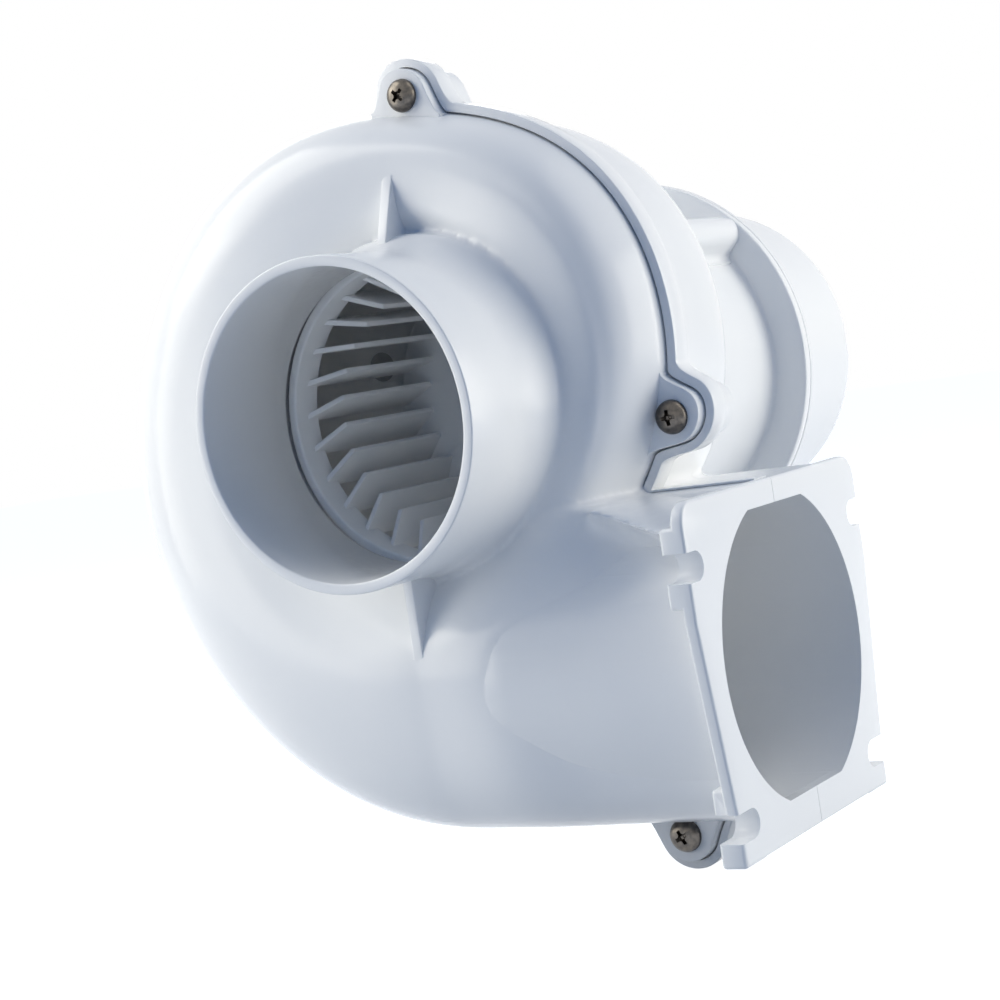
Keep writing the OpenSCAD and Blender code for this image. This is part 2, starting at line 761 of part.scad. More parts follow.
// Motor, from its front plate on the casing's back wall to its rear plate
can_r = can_od / 2;
can_y = back_y + plate_t;
front_room = 12; // room for the windings and the thrust washer in front of the core
rear_room = 3.5; // room behind the commutator
core_y = can_y + front_room;
winding_t = 6;
commutator_gap = 0.5;
commutator_y = core_y + core_len + winding_t + commutator_gap;
can_end_y = commutator_y + commutator_len + rear_room;
plate_end_y = can_end_y + plate_t;
shaft_r = shaft_d / 2;
bearing_r = bearing_od / 2;
magnet_r = can_r - can_wall - 2 * fit;
core_outer_r = magnet_r - magnet_t - air_gap;
tie_r = magnet_r - magnet_t / 2;
tie_bolt_r = 1.5;
tie_nut_r = 3.1;
tie_nut_h = 2.4;
magnet_arc = 130;
bearing_sink = 0.5; // how deep the front bearing lies in its seat
bearing_proud = 4; // how far the rear bearing stands out of its plate
bearing_floor = 1.5; // wall behind a bearing
plate_step = 1; // height of an end plate's step into the can
shaft_clear = 1; // room round the shaft where it leaves an end plate
front_bearing_y = back_inner_y + bearing_sink;
rear_bearing_y = plate_end_y - bearing_len + bearing_proud;

module at_ties() {
    around(2, 90) translate([tie_r, 0, 0]) children();
}
module motor_front_plate() {
    color(steel_colour) difference() {
        union() {
            rod(can_r, back_y, can_y);
            rod(can_r - can_wall - fit, back_y + plate_step, can_y + plate_step);
            rod(pilot_r, back_inner_y, front_bearing_y + bearing_len + bearing_floor);
        }
        rod(bearing_r + fit, back_inner_y - over, front_bearing_y + bearing_len);
        rod(shaft_r + shaft_clear, back_inner_y - over, can_y + 2 * far);
        at_motor_screws() rod(motor_screw_d / 2 + fit, back_y - over, can_y + 2 * over);
        at_ties() rod(tie_bolt_r + fit, back_y + plate_step, can_y + 2 * over);
    }
}
module motor_rear_plate() {
    color(steel_colour) difference() {
        union() {
            rod(can_r, can_end_y, plate_end_y);
            rod(can_r - can_wall - fit, can_end_y - plate_step, can_end_y + plate_step);
            rod(pilot_r, rear_bearing_y - bearing_floor, rear_bearing_y + bearing_len + plate_step);
        }
        rod(bearing_r + fit, rear_bearing_y, plate_end_y + 2 * bearing_len);
        rod(shaft_r + shaft_clear, can_y, plate_end_y);
        at_ties() rod(tie_bolt_r + fit, can_end_y - 2 * over, plate_end_y + over);
    }
}
module motor_can() {
    color(steel_colour) tube_y(can_r - can_wall, can_r, can_y, can_end_y);
}
module motor_screws() {
    color(steel_colour) at_motor_screws() {
        countersink(motor_screw_d / 2, back_inner_y, 0);
        rod(motor_screw_d / 2, back_inner_y, can_y);
    }
}
module motor_tie_bolts() {
    color(steel_colour) at_ties() {
        rod(tie_bolt_r, back_y + plate_step + over / 2, plate_end_y);
        translate([0, plate_end_y + tie_nut_h, 0]) rotate([90, 0, 0]) cylinder(r = tie_nut_r, h = tie_nut_h, $fn = 6);
    }
}
module bearing(y0) {
    color(brass_colour) tube_y(shaft_r + running_fit, bearing_r, y0, y0 + bearing_len);
}
module front_bearing() {
    bearing(front_bearing_y);
}
module rear_bearing() {
    bearing(rear_bearing_y);
}

magnet_over = 3;
module field_magnets() {
    color(dark_colour) for (side = [0, 180])
        translate([0, core_y - magnet_over, 0]) rotate([-90, 0, 0])
            rotate_extrude(angle = magnet_arc, start = side - magnet_arc / 2)
                translate([magnet_r - magnet_t, 0]) square([magnet_t, core_len + 2 * magnet_over]);
}

slot_r = 2.4;
slot_circle_r = core_outer_r - slot_r - 2;
slot_mouth = 1.4;
module armature_core() {
    color(steel_colour) difference() {
        rod(core_outer_r, core_y, core_y + core_len);
        rod(shaft_r + fit, core_y - over, core_y + core_len + over);
        around(core_slots) {
            rod(slot_r, core_y - over, core_y + core_len + over, x = slot_circle_r);
            translate([slot_circle_r, core_y - over, -slot_mouth / 2]) cube([far, core_len + 2 * over, slot_mouth]);
        }
    }
}
winding_gap = 0.1;
module winding_end(y0) {
    inner = shaft_r + 2;
    outer = slot_circle_r + slot_r;
    e = 2;
    turned(concat(
        arc(inner + e, y0 + e, e, 180, 270, 4), arc(outer - e, y0 + e, e, 270, 360, 4),
        arc(outer - e, y0 + winding_t - e, e, 0, 90, 4), arc(inner + e, y0 + winding_t - e, e, 90, 180, 4)
    ));
}
module armature_windings() {
    color(copper_colour) {
        winding_end(core_y - winding_gap - winding_t);
        winding_end(core_y + core_len + winding_gap);
        around(core_slots)
            rod(slot_r - winding_gap, core_y - winding_t / 2, core_y + core_len + winding_t / 2, x = slot_circle_r);
    }
}

commutator_r = commutator_d / 2;
segment_depth = 1.2;
segment_gap = 0.5;
module commutator() {
    color(copper_colour) difference() {
        tube_y(shaft_r + fit, commutator_r, commutator_y, commutator_y + commutator_len);
        around(core_slots)
            translate([commutator_r - segment_depth, commutator_y - over, -segment_gap / 2])
                cube([2 * segment_depth, commutator_len + 2 * over, segment_gap]);
    }
}

brush_w = 6;
brush_gap = 0.3;
brush_len = 10;
brush_y = commutator_y + commutator_len / 2;
holder_wall = 0.8;
brush_plate_t = 2;
holder_r = commutator_r + 2;
holder_end_r = magnet_r - 1;
brush_plate_y = brush_y + brush_w / 2 + holder_wall + 2 * fit;
module at_brushes() {
    around(2) children();
}
module brush_plate() {
    color("#8a5a33") difference() {
        rod(can_r - can_wall - fit, brush_plate_y, brush_plate_y + brush_plate_t);
        rod(commutator_r + 1.5, brush_plate_y - over, brush_plate_y + brush_plate_t + over);
        at_ties() rod(tie_bolt_r + fit, brush_plate_y - over, brush_plate_y + brush_plate_t + over);
    }
}
module brush_holders() {
    h = brush_w / 2 + fit;
    o = h + holder_wall;
    color(brass_colour) at_brushes() difference() {
        translate([holder_r, brush_y - o, -o]) cube([holder_end_r - holder_r, 2 * o, 2 * o]);
        translate([holder_r - over, brush_y - h, -h])
            cube([holder_end_r - holder_r - holder_wall + over, 2 * h, 2 * h]);
    }
}
module carbon_brushes() {
    color(dark_colour) at_brushes() translate([commutator_r + brush_gap, brush_y - brush_w / 2, -brush_w / 2])
        cube([brush_len, brush_w, brush_w]);
}

// Coil spring behind a brush, swept along its helix
spring_wire = 0.4;
spring_r = 2.2;
spring_turns = 5;
spring_sides = 6;
spring_rings = 10;
module brush_springs() {
    start = commutator_r + brush_gap + brush_len + spring_wire + fit;
    end = holder_end_r - holder_wall - spring_wire - fit;
    steps = spring_turns * spring_rings;
    color(steel_colour) at_brushes() loft([for (j = [0 : steps])
        let (a = 360 * j / spring_rings, x = mix(start, end, j / steps))
        [for (i = [0 : spring_sides - 1])
            let (b = 360 * i / spring_sides, r = spring_r + spring_wire * cos(b))
            [x + spring_wire * sin(b), brush_y + r * cos(a), r * sin(a)]]]);
}

// Rotor: the shaft carries the armature inside the motor and the fan in front of it
hub_len = 18;
hub_y = disc_y + fan_disc_t - hub_len;
hub_r = 10;
hub_insert_r = shaft_r + 2.5;
washer_t = 1;
nut_h = 5;
nut_af = 10;
stud_r = shaft_r - 1;
shaft_end_y = rear_bearing_y + bearing_len;

module motor_shaft() {
    color(steel_colour) {
        rod(shaft_r, hub_y, shaft_end_y);
        rod(stud_r, hub_y - washer_t - nut_h - 1.5, hub_y + over);
    }
}
module hub_insert() {
    color(brass_colour) tube_y(shaft_r + fit, hub_insert_r, hub_y, disc_y + fan_disc_t);
}
module hub_washer() {
    color(steel_colour) tube_y(stud_r + fit, hub_r - 1, hub_y - washer_t, hub_y);
}
module hub_nut() {
    nut_y = hub_y - washer_t;
    color(steel_colour) difference() {
        translate([0, nut_y, 0]) rotate([90, 0, 0]) cylinder(r = nut_af / sqrt(3), h = nut_h, $fn = 6);
        rod(stud_r + fit, nut_y - nut_h - over, nut_y + over);
    }
}

blade_front_y = fan_front_y + fan_ring_w / 2;
blade_tip_r = fan_r - fan_ring_t / 3;
module blade() {
    reach = blade_inner_r * cos(blade_lean);
    length = sqrt(reach * reach + blade_tip_r * blade_tip_r - blade_inner_r * blade_inner_r) - reach;
    translate([blade_inner_r, blade_front_y, 0]) rotate([0, -blade_lean, 0])
        translate([0, 0, -blade_t / 2]) cube([length, disc_y + fan_disc_t / 2 - blade_front_y, blade_t]);
}
module impeller() {
    color(fan_colour) difference() {
        union() {
            tube_y(fan_r - fan_ring_t, fan_r, fan_front_y, fan_front_y + fan_ring_w);
            rod(fan_r, disc_y, disc_y + fan_disc_t);
            rod(hub_r, hub_y, disc_y + over);
            around(blade_count, blade_first_angle) blade();
        }
        rod(hub_insert_r + fit, hub_y - over, disc_y + fan_disc_t + over);
    }
}

washer_gap = 0.15;
thrust_t = 1;
module thrust_washers() {
    front = front_bearing_y + bearing_len + bearing_floor + washer_gap;
    rear = rear_bearing_y - bearing_floor - washer_gap - thrust_t;
    color(brass_colour) for (y = [front, rear]) tube_y(shaft_r + fit, shaft_r + 3, y, y + thrust_t);
}

front_casing();
rear_casing();
casing_screws();
casing_inserts();
motor_housing();
housing_screws();
motor_cover();
cover_screws();
cover_inserts();
cable_grommet();
motor_can();
motor_front_plate();
motor_rear_plate();
motor_screws();
motor_tie_bolts();
front_bearing();
rear_bearing();
field_magnets();
brush_plate();
brush_holders();
carbon_brushes();
brush_springs();
motor_shaft();
impeller();
hub_insert();
hub_washer();
hub_nut();
armature_core();
armature_windings();
commutator();
thrust_washers();
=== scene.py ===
"""Looks of the centrifugal air blower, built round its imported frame.

The casing halves, the fan wheel, the screws and the motor's drum are modelled here at the finish of
moulded and turned pieces. The pieces inside the motor keep the frame's own meshes and get finishes.
Lengths are millimetres in the frame's axes: Y runs along the fan's axis, X out of the outlet, Z up.
Angles are degrees.
"""

import logging
import math
from dataclasses import dataclass, field
from enum import Enum
from typing import Iterable, Sequence

import bmesh
import bpy
from mathutils import Matrix, Vector

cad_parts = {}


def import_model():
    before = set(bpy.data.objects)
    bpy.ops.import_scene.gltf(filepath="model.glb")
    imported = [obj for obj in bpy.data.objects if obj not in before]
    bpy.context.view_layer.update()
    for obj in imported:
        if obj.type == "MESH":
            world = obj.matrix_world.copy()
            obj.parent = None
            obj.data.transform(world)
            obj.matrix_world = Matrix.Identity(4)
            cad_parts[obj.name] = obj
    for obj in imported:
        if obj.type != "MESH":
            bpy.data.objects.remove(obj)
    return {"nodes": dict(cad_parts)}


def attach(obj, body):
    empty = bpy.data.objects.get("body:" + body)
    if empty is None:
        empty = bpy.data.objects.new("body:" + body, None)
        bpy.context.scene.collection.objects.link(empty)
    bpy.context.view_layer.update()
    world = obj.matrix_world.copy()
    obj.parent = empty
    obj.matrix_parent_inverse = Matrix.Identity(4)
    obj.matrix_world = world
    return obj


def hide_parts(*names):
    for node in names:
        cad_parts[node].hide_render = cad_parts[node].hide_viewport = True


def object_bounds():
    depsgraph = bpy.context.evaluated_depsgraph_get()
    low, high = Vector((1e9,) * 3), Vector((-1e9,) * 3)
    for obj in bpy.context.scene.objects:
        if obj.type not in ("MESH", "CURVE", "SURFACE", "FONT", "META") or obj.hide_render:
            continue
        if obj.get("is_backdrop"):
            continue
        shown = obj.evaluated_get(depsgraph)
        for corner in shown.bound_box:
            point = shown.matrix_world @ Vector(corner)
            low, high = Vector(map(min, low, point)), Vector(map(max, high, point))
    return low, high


LOG = logging.getLogger("blower")
MM = 0.001
Point = tuple[float, float]
Colour = tuple[float, float, float]
Corner = tuple[Vector, Vector, float, int]
Piece = bpy.types.Object
Solid = bmesh.types.BMesh
Material = bpy.types.Material
Tree = bpy.types.ShaderNodeTree
Node = bpy.types.Node
Socket = bpy.types.NodeSocket


class Body(str, Enum):
    """Moving bodies of the frame."""

    CASING = "casing"
    ROTOR = "rotor"


class Half(Enum):
    """Halves of the scroll casing, with the way each one points along the fan's axis."""

    FRONT = -1
    REAR = 1


class Cut(str, Enum):
    """Ways to combine two solids."""

    ADD = "UNION"
    TAKE = "DIFFERENCE"


def mix(a: float, b: float, t: float) -> float:
    """Value between a and b."""
    return a + (b - a) * t


def smooth_step(t: float) -> float:
    """Eased way from 0 to 1."""
    c = max(0.0, min(1.0, t))
    return c * c * (3 - 2 * c)


def arc(cx: float, cy: float, r: float, start: float, end: float, steps: int = 8) -> list[Point]:
    """Points along an arc.

    Args:
        cx: first coordinate of the centre.
        cy: second coordinate of the centre.
        r: radius.
        start: first angle in degrees.
        end: last angle in degrees.
        steps: number of chords.

    Returns:
        The arc's points from the first angle to the last.
    """
    angles = [math.radians(mix(start, end, i / steps)) for i in range(steps + 1)]
    return [(cx + r * math.cos(a), cy + r * math.sin(a)) for a in angles]


def polar(angle: float, r: float, y: float) -> Vector:
    """Point at an angle and a radius about the fan's axis."""
    a = math.radians(angle)
    return Vector((r * math.cos(a), y, r * math.sin(a)))


def about_axis(angle: float) -> Matrix:
    """Turn about the fan's axis that takes +X to an angle."""
    return Matrix.Rotation(-math.radians(angle), 4, "Y")


class Mesher:
    """Small operations on bmeshes and objects that every sub-assembly shares.

    Points within MERGE metres count as one, edges sharper than CORNER get rounded, and EASE is the
    strength of a smoothing round.
    """

    MERGE = 1e-7
    CORNER = math.radians(30)
    EASE = 0.5

    @classmethod
    def clean(cls, bm: Solid) -> Solid:
        """Merges the points that coincide and turns the faces outwards.

        Args:
            bm: the bmesh that changes, in metres.

        Returns:
            The same bmesh.
        """
        bmesh.ops.remove_doubles(bm, verts=bm.verts[:], dist=cls.MERGE)
        bmesh.ops.recalc_face_normals(bm, faces=bm.faces[:])
        return bm

    @staticmethod
    def drop(obj: Piece) -> None:
        """Removes an object and its mesh.

        Args:
            obj: the object that goes.
        """
        mesh = obj.data
        bpy.data.objects.remove(obj)
        bpy.data.meshes.remove(mesh)

    @classmethod
    def as_object(cls, bm: Solid, name: str) -> Piece:
        """Closes a bmesh into an object in the scene.

        Args:
            bm: the finished bmesh, in metres.
            name: name of the object and of its mesh.

        Returns:
            The new object, at the origin.
        """
        mesh = bpy.data.meshes.new(name)
        cls.clean(bm).to_mesh(mesh)
        bm.free()
        obj = bpy.data.objects.new(name, mesh)
        bpy.context.scene.collection.objects.link(obj)
        return obj

    @staticmethod
    def loft(rings: Sequence[Sequence[Vector]]) -> Solid:
        """Extrudes a closed section station by station.

        Args:
            rings: stations with the same number of points each, in millimetres.

        Returns:
            A closed bmesh in metres.
        """
        bm = bmesh.new()
        face = bm.faces.new([bm.verts.new(p * MM) for p in rings[0]])
        for i, ring in enumerate(rings[1:]):
            made = bmesh.ops.extrude_face_region(bm, geom=[face])["geom"]
            if i > 0:
                bmesh.ops.delete(bm, geom=[face], context="FACES_ONLY")
            face = next(g for g in made if isinstance(g, bmesh.types.BMFace))
            for loop, point in zip(face.loops, ring):
                loop.vert.co = point * MM
        return bm

    @staticmethod
    def rounded(bm: Solid, edges: Sequence[bmesh.types.BMEdge], radius: float, segments: int) -> None:
        """Rounds some edges of a bmesh with a radius in millimetres."""
        bmesh.ops.bevel(bm, geom=list(edges), offset=radius * MM, offset_type="OFFSET", affect="EDGES",
                        segments=segments, profile=0.5, material=-1, clamp_overlap=True)

    @classmethod
    def prism(cls, outline: Iterable[Vector], way: Vector, rounding: float = 0.0, near: bool = False,
              segments: int = 3) -> Solid:
        """Extrudes a flat outline and rounds its edges.

        Args:
            outline: corners of the outline, in millimetres.
            way: extrusion, in millimetres.
            rounding: radius of the edges' rounding.
            near: whether only the rim of the first face is rounded.
            segments: number of steps in the rounding.

        Returns:
            A closed bmesh in metres.
        """
        bm = bmesh.new()
        face = bm.faces.new([bm.verts.new(p * MM) for p in outline])
        made = bmesh.ops.extrude_face_region(bm, geom=[face])["geom"]
        moved = [g for g in made if isinstance(g, bmesh.types.BMVert)]
        bmesh.ops.translate(bm, verts=moved, vec=way * MM)
        bmesh.ops.recalc_face_normals(bm, faces=bm.faces[:])
        if rounding > 0:
            far = set(moved)
            sharp = [e for e in bm.edges if e.calc_face_angle(0) > cls.CORNER]
            if near:
                sharp = [e for e in sharp if not far.intersection(e.verts)]
            cls.rounded(bm, sharp, rounding, segments)
        return bm

    @classmethod
    def lathe(cls, profile: Sequence[Point], steps: int) -> Solid:
        """Turns a profile about the fan's axis.

        Args:
            profile: points of radius and place along Y, in millimetres; a closed outline repeats its
                first point, and an open one starts and ends on the axis.
            steps: number of steps in the turn.

        Returns:
            A closed bmesh in metres.
        """
        bm = bmesh.new()
        verts = [bm.verts.new(Vector((r, y, 0)) * MM) for r, y in profile]
        edges = [bm.edges.new(pair) for pair in zip(verts, verts[1:])]
        bmesh.ops.spin(bm, geom=verts + edges, cent=(0, 0, 0), axis=(0, 1, 0), angle=2 * math.pi, steps=steps,
                       use_merge=True)
        return cls.clean(bm)

    @staticmethod
    def bar(start: Vector, end: Vector, r: float, segments: int) -> Solid:
        """Round bar between two points in millimetres.

        Args:
            start: one end of its axis.
            end: the other end.
            r: radius.
            segments: number of sides.

        Returns:
            A closed bmesh in metres.
        """
        bm = bmesh.new()
        bmesh.ops.create_cone(bm, cap_ends=True, segments=segments, radius1=r * MM, radius2=r * MM,
                              depth=(end - start).length * MM)
        turn = Vector((0, 0, 1)).rotation_difference(end - start).to_matrix().to_4x4()
        return Mesher.moved(bm, Matrix.Translation((start + end) / 2 * MM) @ turn)

    @classmethod
    def axis_bar(cls, y0: float, y1: float, r: float, segments: int) -> Solid:
        """Round bar on the fan's axis."""
        return cls.bar(Vector((0, y0, 0)), Vector((0, y1, 0)), r, segments)

    @classmethod
    def block(cls, low: Vector, high: Vector, rounding: float = 0.0) -> Solid:
        """Box between two corners in millimetres, with rounded edges.

        Args:
            low: corner with the lowest coordinates.
            high: corner with the highest ones.
            rounding: radius of the edges' rounding.

        Returns:
            A closed bmesh in metres.
        """
        bm = bmesh.new()
        bmesh.ops.create_cube(bm, size=MM)
        bmesh.ops.scale(bm, vec=high - low, verts=bm.verts[:])
        bmesh.ops.translate(bm, vec=(low + high) / 2 * MM, verts=bm.verts[:])
        if rounding > 0:
            cls.rounded(bm, bm.edges[:], rounding, 3)
        return bm

    @staticmethod
    def ball(centre: Vector, r: float, segments: int) -> Solid:
        """Sphere about a point in millimetres.

        Args:
            centre: the point.
            r: radius.
            segments: number of steps round it.

        Returns:
            A closed bmesh in metres.
        """
        bm = bmesh.new()
        bmesh.ops.create_uvsphere(bm, u_segments=segments, v_segments=segments // 2, radius=r * MM)
        return Mesher.moved(bm, Matrix.Translation(centre * MM))

    @staticmethod
    def moved(bm: Solid, place: Matrix) -> Solid:
        """Applies a transform in metres to a whole bmesh."""
        bmesh.ops.transform(bm, matrix=place, verts=bm.verts[:])
        return bm

    @staticmethod
    def joined(parts: Iterable[Solid]) -> Solid:
        """Collects several bmeshes in one, each as its own shell.

        Args:
            parts: the bmeshes; they are used up.

        Returns:
            The bmesh that holds them all.
        """
        whole = bmesh.new()
        for part in parts:
            bmesh.ops.recalc_face_normals(part, faces=part.faces[:])
            mesh = bpy.data.meshes.new("part")
            part.to_mesh(mesh)
            part.free()
            whole.from_mesh(mesh)
            bpy.data.meshes.remove(mesh)
        return whole

    @staticmethod
    def bake(obj: Piece) -> None:
        """Applies an object's modifiers to its mesh.

        Args:
            obj: the object that changes.
        """
        graph = bpy.context.evaluated_depsgraph_get()
        mesh = bpy.data.meshes.new_from_object(obj.evaluated_get(graph))
        obj.modifiers.clear()
        old = obj.data
        obj.data = mesh
        bpy.data.meshes.remove(old)
        mesh.name = obj.name

    @classmethod
    def carve(cls, obj: Piece, operation: Cut, *tools: Solid) -> None:
        """Adds solids or takes them away, one after the other.

        Args:
            obj: the object that changes.
            operation: what is done with each solid.
            tools: the solids; they are used up.
        """
        for tool in tools:
            other = cls.as_object(tool, "tool")
            cut = obj.modifiers.new("cut", "BOOLEAN")
            cut.operation = operation.value
            cut.solver = "MANIFOLD"
            cut.object = other
            cls.bake(obj)
            cls.drop(other)

    @classmethod
    def ease(cls, obj: Piece, rounds: int, group: str = "") -> None:
        """Smooths an object's skin and applies its modifiers.

        Args:
            obj: the object that changes.
            rounds: number of smoothing rounds.
            group: name of the points that are smoothed, empty for all.
        """
        smooth = obj.modifiers.new("ease", "SMOOTH")
        smooth.factor = cls.EASE
        smooth.iterations = rounds
        smooth.vertex_group = group
        cls.bake(obj)

    @classmethod
    def blend(cls, obj: Piece, voxel: float, rounds: int) -> None:
        """Fuses an object's shells into one skin and rounds its creases.

        Args:
            obj: the object that changes.
            voxel: size of the fused skin's cells, in millimetres.
            rounds: number of smoothing rounds.
        """
        fuse = obj.modifiers.new("fuse", "REMESH")
        fuse.mode = "VOXEL"
        fuse.voxel_size = voxel * MM
        cls.ease(obj, rounds)

    @classmethod
    def soften(cls, obj: Piece, start: Vector, end: Vector, reach: float, rounds: int) -> None:
        """Rounds a hollow corner more than the rest of the skin.

        Args:
            obj: the object that changes.
            start: one end of the corner's line, in millimetres.
            end: the other end.
            reach: distance from the line at which the rounding has faded out, full up to half of it.
            rounds: number of smoothing rounds.
        """
        group = obj.vertex_groups.new(name="corner")
        line = end - start
        for vert in obj.data.vertices:
            p = vert.co / MM
            t = max(0.0, min(1.0, (p - start).dot(line) / line.length_squared))
            near = 1 - (p - start - line * t).length / reach
            if near > 0:
                group.add([vert.index], smooth_step(near * 2), "REPLACE")
        cls.ease(obj, rounds, group.name)
        obj.vertex_groups.clear()

    @staticmethod
    def shade(obj: Piece, sharp: float = 32.0) -> None:
        """Shades a mesh smooth between edges sharper than an angle in degrees."""
        obj.data.shade_smooth()
        obj.data.set_sharp_from_angle(angle=math.radians(sharp))


@dataclass
class ScrollForm:
    """The scroll's shape: a spiral channel round the fan that runs out into a straight duct."""

    # inlet, walls and planes
    collar_r: float = 38.0
    bore_r: float = 35.5
    root_r: float = 38.9
    core_r: float = 38.0
    core_cut: float = 1.0
    neck_r: float = 38.7
    neck_outer_r: float = 41.5
    wall: float = 2.5
    parting_y: float = 55.4
    back_y: float = 90.5
    skirt: float = 3.0
    squareness: float = 5.0
    overlap: float = 1.0
    # outlet tube and duct
    outlet_z: float = -64.8
    tube_r: float = 38.0
    tube_tolerance: float = 0.03
    nose_x: float = 24.0
    duct_top: float = 26.9
    duct_end_x: float = 75.6
    outlet_reach: float = 78.6
    plain_end: float = 12.0
    tongue_x: float = 44.0
    duct_lead: float = 36.0
    duct_step: float = 20.0
    duct_rise_knots: tuple[float, ...] = (-1.0, 0.0, 1.5, -1.4, -3.0, -3.2)
    duct_valley_knots: tuple[float, ...] = (14.0, 14.0, 14.9, 9.0, 14.4, 15.8)
    duct_turn: float = 1.5
    duct_crest_z: float = 62.0
    wall_crowding: float = 1.5
    # spiral, with a knot at every eighth of a turn
    first_angle: float = -45.0
    knot_step: float = 45.0
    last_angle: float = 270.0
    radius_knots: tuple[float, ...] = (50.5, 57.5, 66.2, 70.8, 85.7, 94.03, 99.9, 102.8)
    crest_knots: tuple[float, ...] = (25.5, 20.5, 18.5, 17.5, 24.0, 30.0, 34.0, 36.0)
    valley_knots: tuple[float, ...] = (0.0, 0.0, 2.0, 9.3, 13.0, 14.0, 14.0, 14.0)
    lean_knots: tuple[float, ...] = (3.0, 5.0, 5.0, 3.5, 1.0, 0.0, 0.0, 0.0)
    foot_knots: tuple[float, ...] = (5.0, 5.0, 4.0, 2.0, 0.0, 0.0, 0.0, 0.0)
    turn_knots: tuple[float, ...] = (2.2, 1.8, 1.7, 1.1, 0.75, 0.72, 0.9, 1.5)
    place_knots: tuple[float, ...] = (0.2, 0.2, 0.4, 0.5, 0.5, 0.5, 0.45, 0.37)
    plain_power: float = 2.0
    # hollow round the collar and fine line round the face
    moat_power: float = 3.5
    moat_end: float = 170.0
    moat_fade: float = 90.0
    bead_place: float = 0.58
    bead_height: float = 0.55
    bead_end: float = 50.0
    bead_fade: float = 40.0
    bead_steepness: float = 6.0
    bead_width: float = 0.06
    # gusset over the duct
    gusset_root: float = 29.0
    gusset_end: float = 44.0
    gusset_drop: float = 6.5
    gusset_reach: float = 10.0
    gusset_sweep: float = 2.2
    gusset_lead: float = 6.0
    # numbers of steps
    face_steps: int = 18
    shoulder_steps: int = 44
    wall_steps: int = 36
    rear_steps: int = 24
    spiral_stations: int = 126
    duct_stations: int = 38
    tube_segments: int = 160
    ball_segments: int = 96

    @property
    def bottom_r(self) -> float:
        """Distance of the scroll's lowest wall from the fan's axis."""
        return self.tube_r - self.outlet_z

    @property
    def tube_ir(self) -> float:
        """Inner radius of the outlet tube."""
        return self.tube_r - self.wall

    @staticmethod
    def curve(knots: Sequence[float], s: float) -> float:
        """Value of a smooth curve through evenly spaced knots, level at its end.

        Args:
            knots: values at 0, 1, 2 and so on.
            s: place along the knots.

        Returns:
            The value there.
        """
        last = len(knots) - 1
        i = max(0, min(last - 1, math.floor(s)))
        t = s - i
        before = knots[i - 1] if i > 0 else 2 * knots[0] - knots[1]
        after = knots[i + 2] if i + 2 <= last else knots[last - 1]
        p1, p2 = knots[i], knots[i + 1]
        return 0.5 * (2 * p1 + (p2 - before) * t + (2 * before - 5 * p1 + 4 * p2 - after) * t * t
                      + (3 * p1 - before - 3 * p2 + after) * t * t * t)

    def along(self, knots: Sequence[float], angle: float) -> float:
        """Value of the curve through knots at every eighth of a turn."""
        return self.curve(knots, (angle - self.first_angle) / self.knot_step)

    def down_duct(self, knots: Sequence[float], x: float) -> float:
        """Value of the curve through knots along the duct, from one step before the fan's axis."""
        return self.curve(knots, max(0.0, x) / self.duct_step + 1)

    def radius(self, angle: float) -> float:
        """Outer radius of the scroll at an angle."""
        return self.along(self.radius_knots, angle)

    def core(self, inset: float) -> float:
        """Radius of the spiral's inner side, which is deeper for the channel than for the skin."""
        return self.core_r - (self.core_cut if inset > 0 else 0)

    def duct_inner(self, x: float, inset: float) -> float:
        """Distance of the duct's upper wall below the fan's axis."""
        return mix(self.core_r, self.duct_top, smooth_step(x / self.duct_lead)) + inset

    def turned_down(self, start: float, corner: float, outer: float, crest: float, foot: float,
                    pull: float) -> list[Point]:
        """Conic that leaves a crest level, turns at a corner and ends on the side wall's foot.

        Args:
            start: radius where the conic leaves the crest.
            corner: radius of the corner that it is drawn to.
            outer: radius at its foot.
            crest: height of the crest.
            foot: height of the foot.
            pull: pull of the corner.

        Returns:
            Points of radius and height.
        """
        points = []
        for i in range(self.shoulder_steps + 1):
            u = i / self.shoulder_steps
            a, b, c = (1 - u) ** 2, 2 * pull * u * (1 - u), u * u
            total = a + b + c
            r = (a * start + b * corner + c * outer) / total
            points.append((r, ((a + b) * crest + c * foot) / total))
        return points

    def front_section(self, angle: float, inset: float) -> list[Point]:
        """Front half of the spiral's section.

        Args:
            angle: place round the fan's axis.
            inset: distance inside the outer skin, 0 for the skin itself.

        Returns:
            Points of radius and height over the parting plane.
        """
        outer = self.radius(angle) - inset
        core = self.core(inset)
        crest = self.along(self.crest_knots, angle) - inset
        valley = crest - self.along(self.valley_knots, angle)
        corner = outer - self.along(self.lean_knots, angle)
        start = mix(core, outer, self.along(self.place_knots, angle))
        foot = self.along(self.foot_knots, angle)
        power = mix(self.moat_power, self.plain_power, smooth_step((angle - self.moat_end) / self.moat_fade))
        points = [(core, -self.skirt)]
        for i in range(self.face_steps):
            t = i / self.face_steps
            points.append((mix(core, start, t), crest - (crest - valley) * (1 - t) ** power))
        points += self.turned_down(start, corner, outer, crest, foot, self.along(self.turn_knots, angle))
        points.append((outer, -self.skirt))
        if inset > 0:
            return points
        return [(r, y + self.bead(angle, (r - core) / (outer - core))) for r, y in points]

    def bead(self, angle: float, way: float) -> float:
        """Rise of the face inside the fine line that parts it from the shoulder on the right.

        Args:
            angle: place round the fan's axis.
            way: share of the way from the inner side to the wall.

        Returns:
            The rise in millimetres.
        """
        fade = 1 - smooth_step((angle - self.bead_end) / self.bead_fade)
        fade *= smooth_step((angle - self.first_angle) / self.bead_fade)
        start = smooth_step(self.bead_steepness * way)
        return self.bead_height * fade * start * (1 - smooth_step((way - self.bead_place) / self.bead_width))

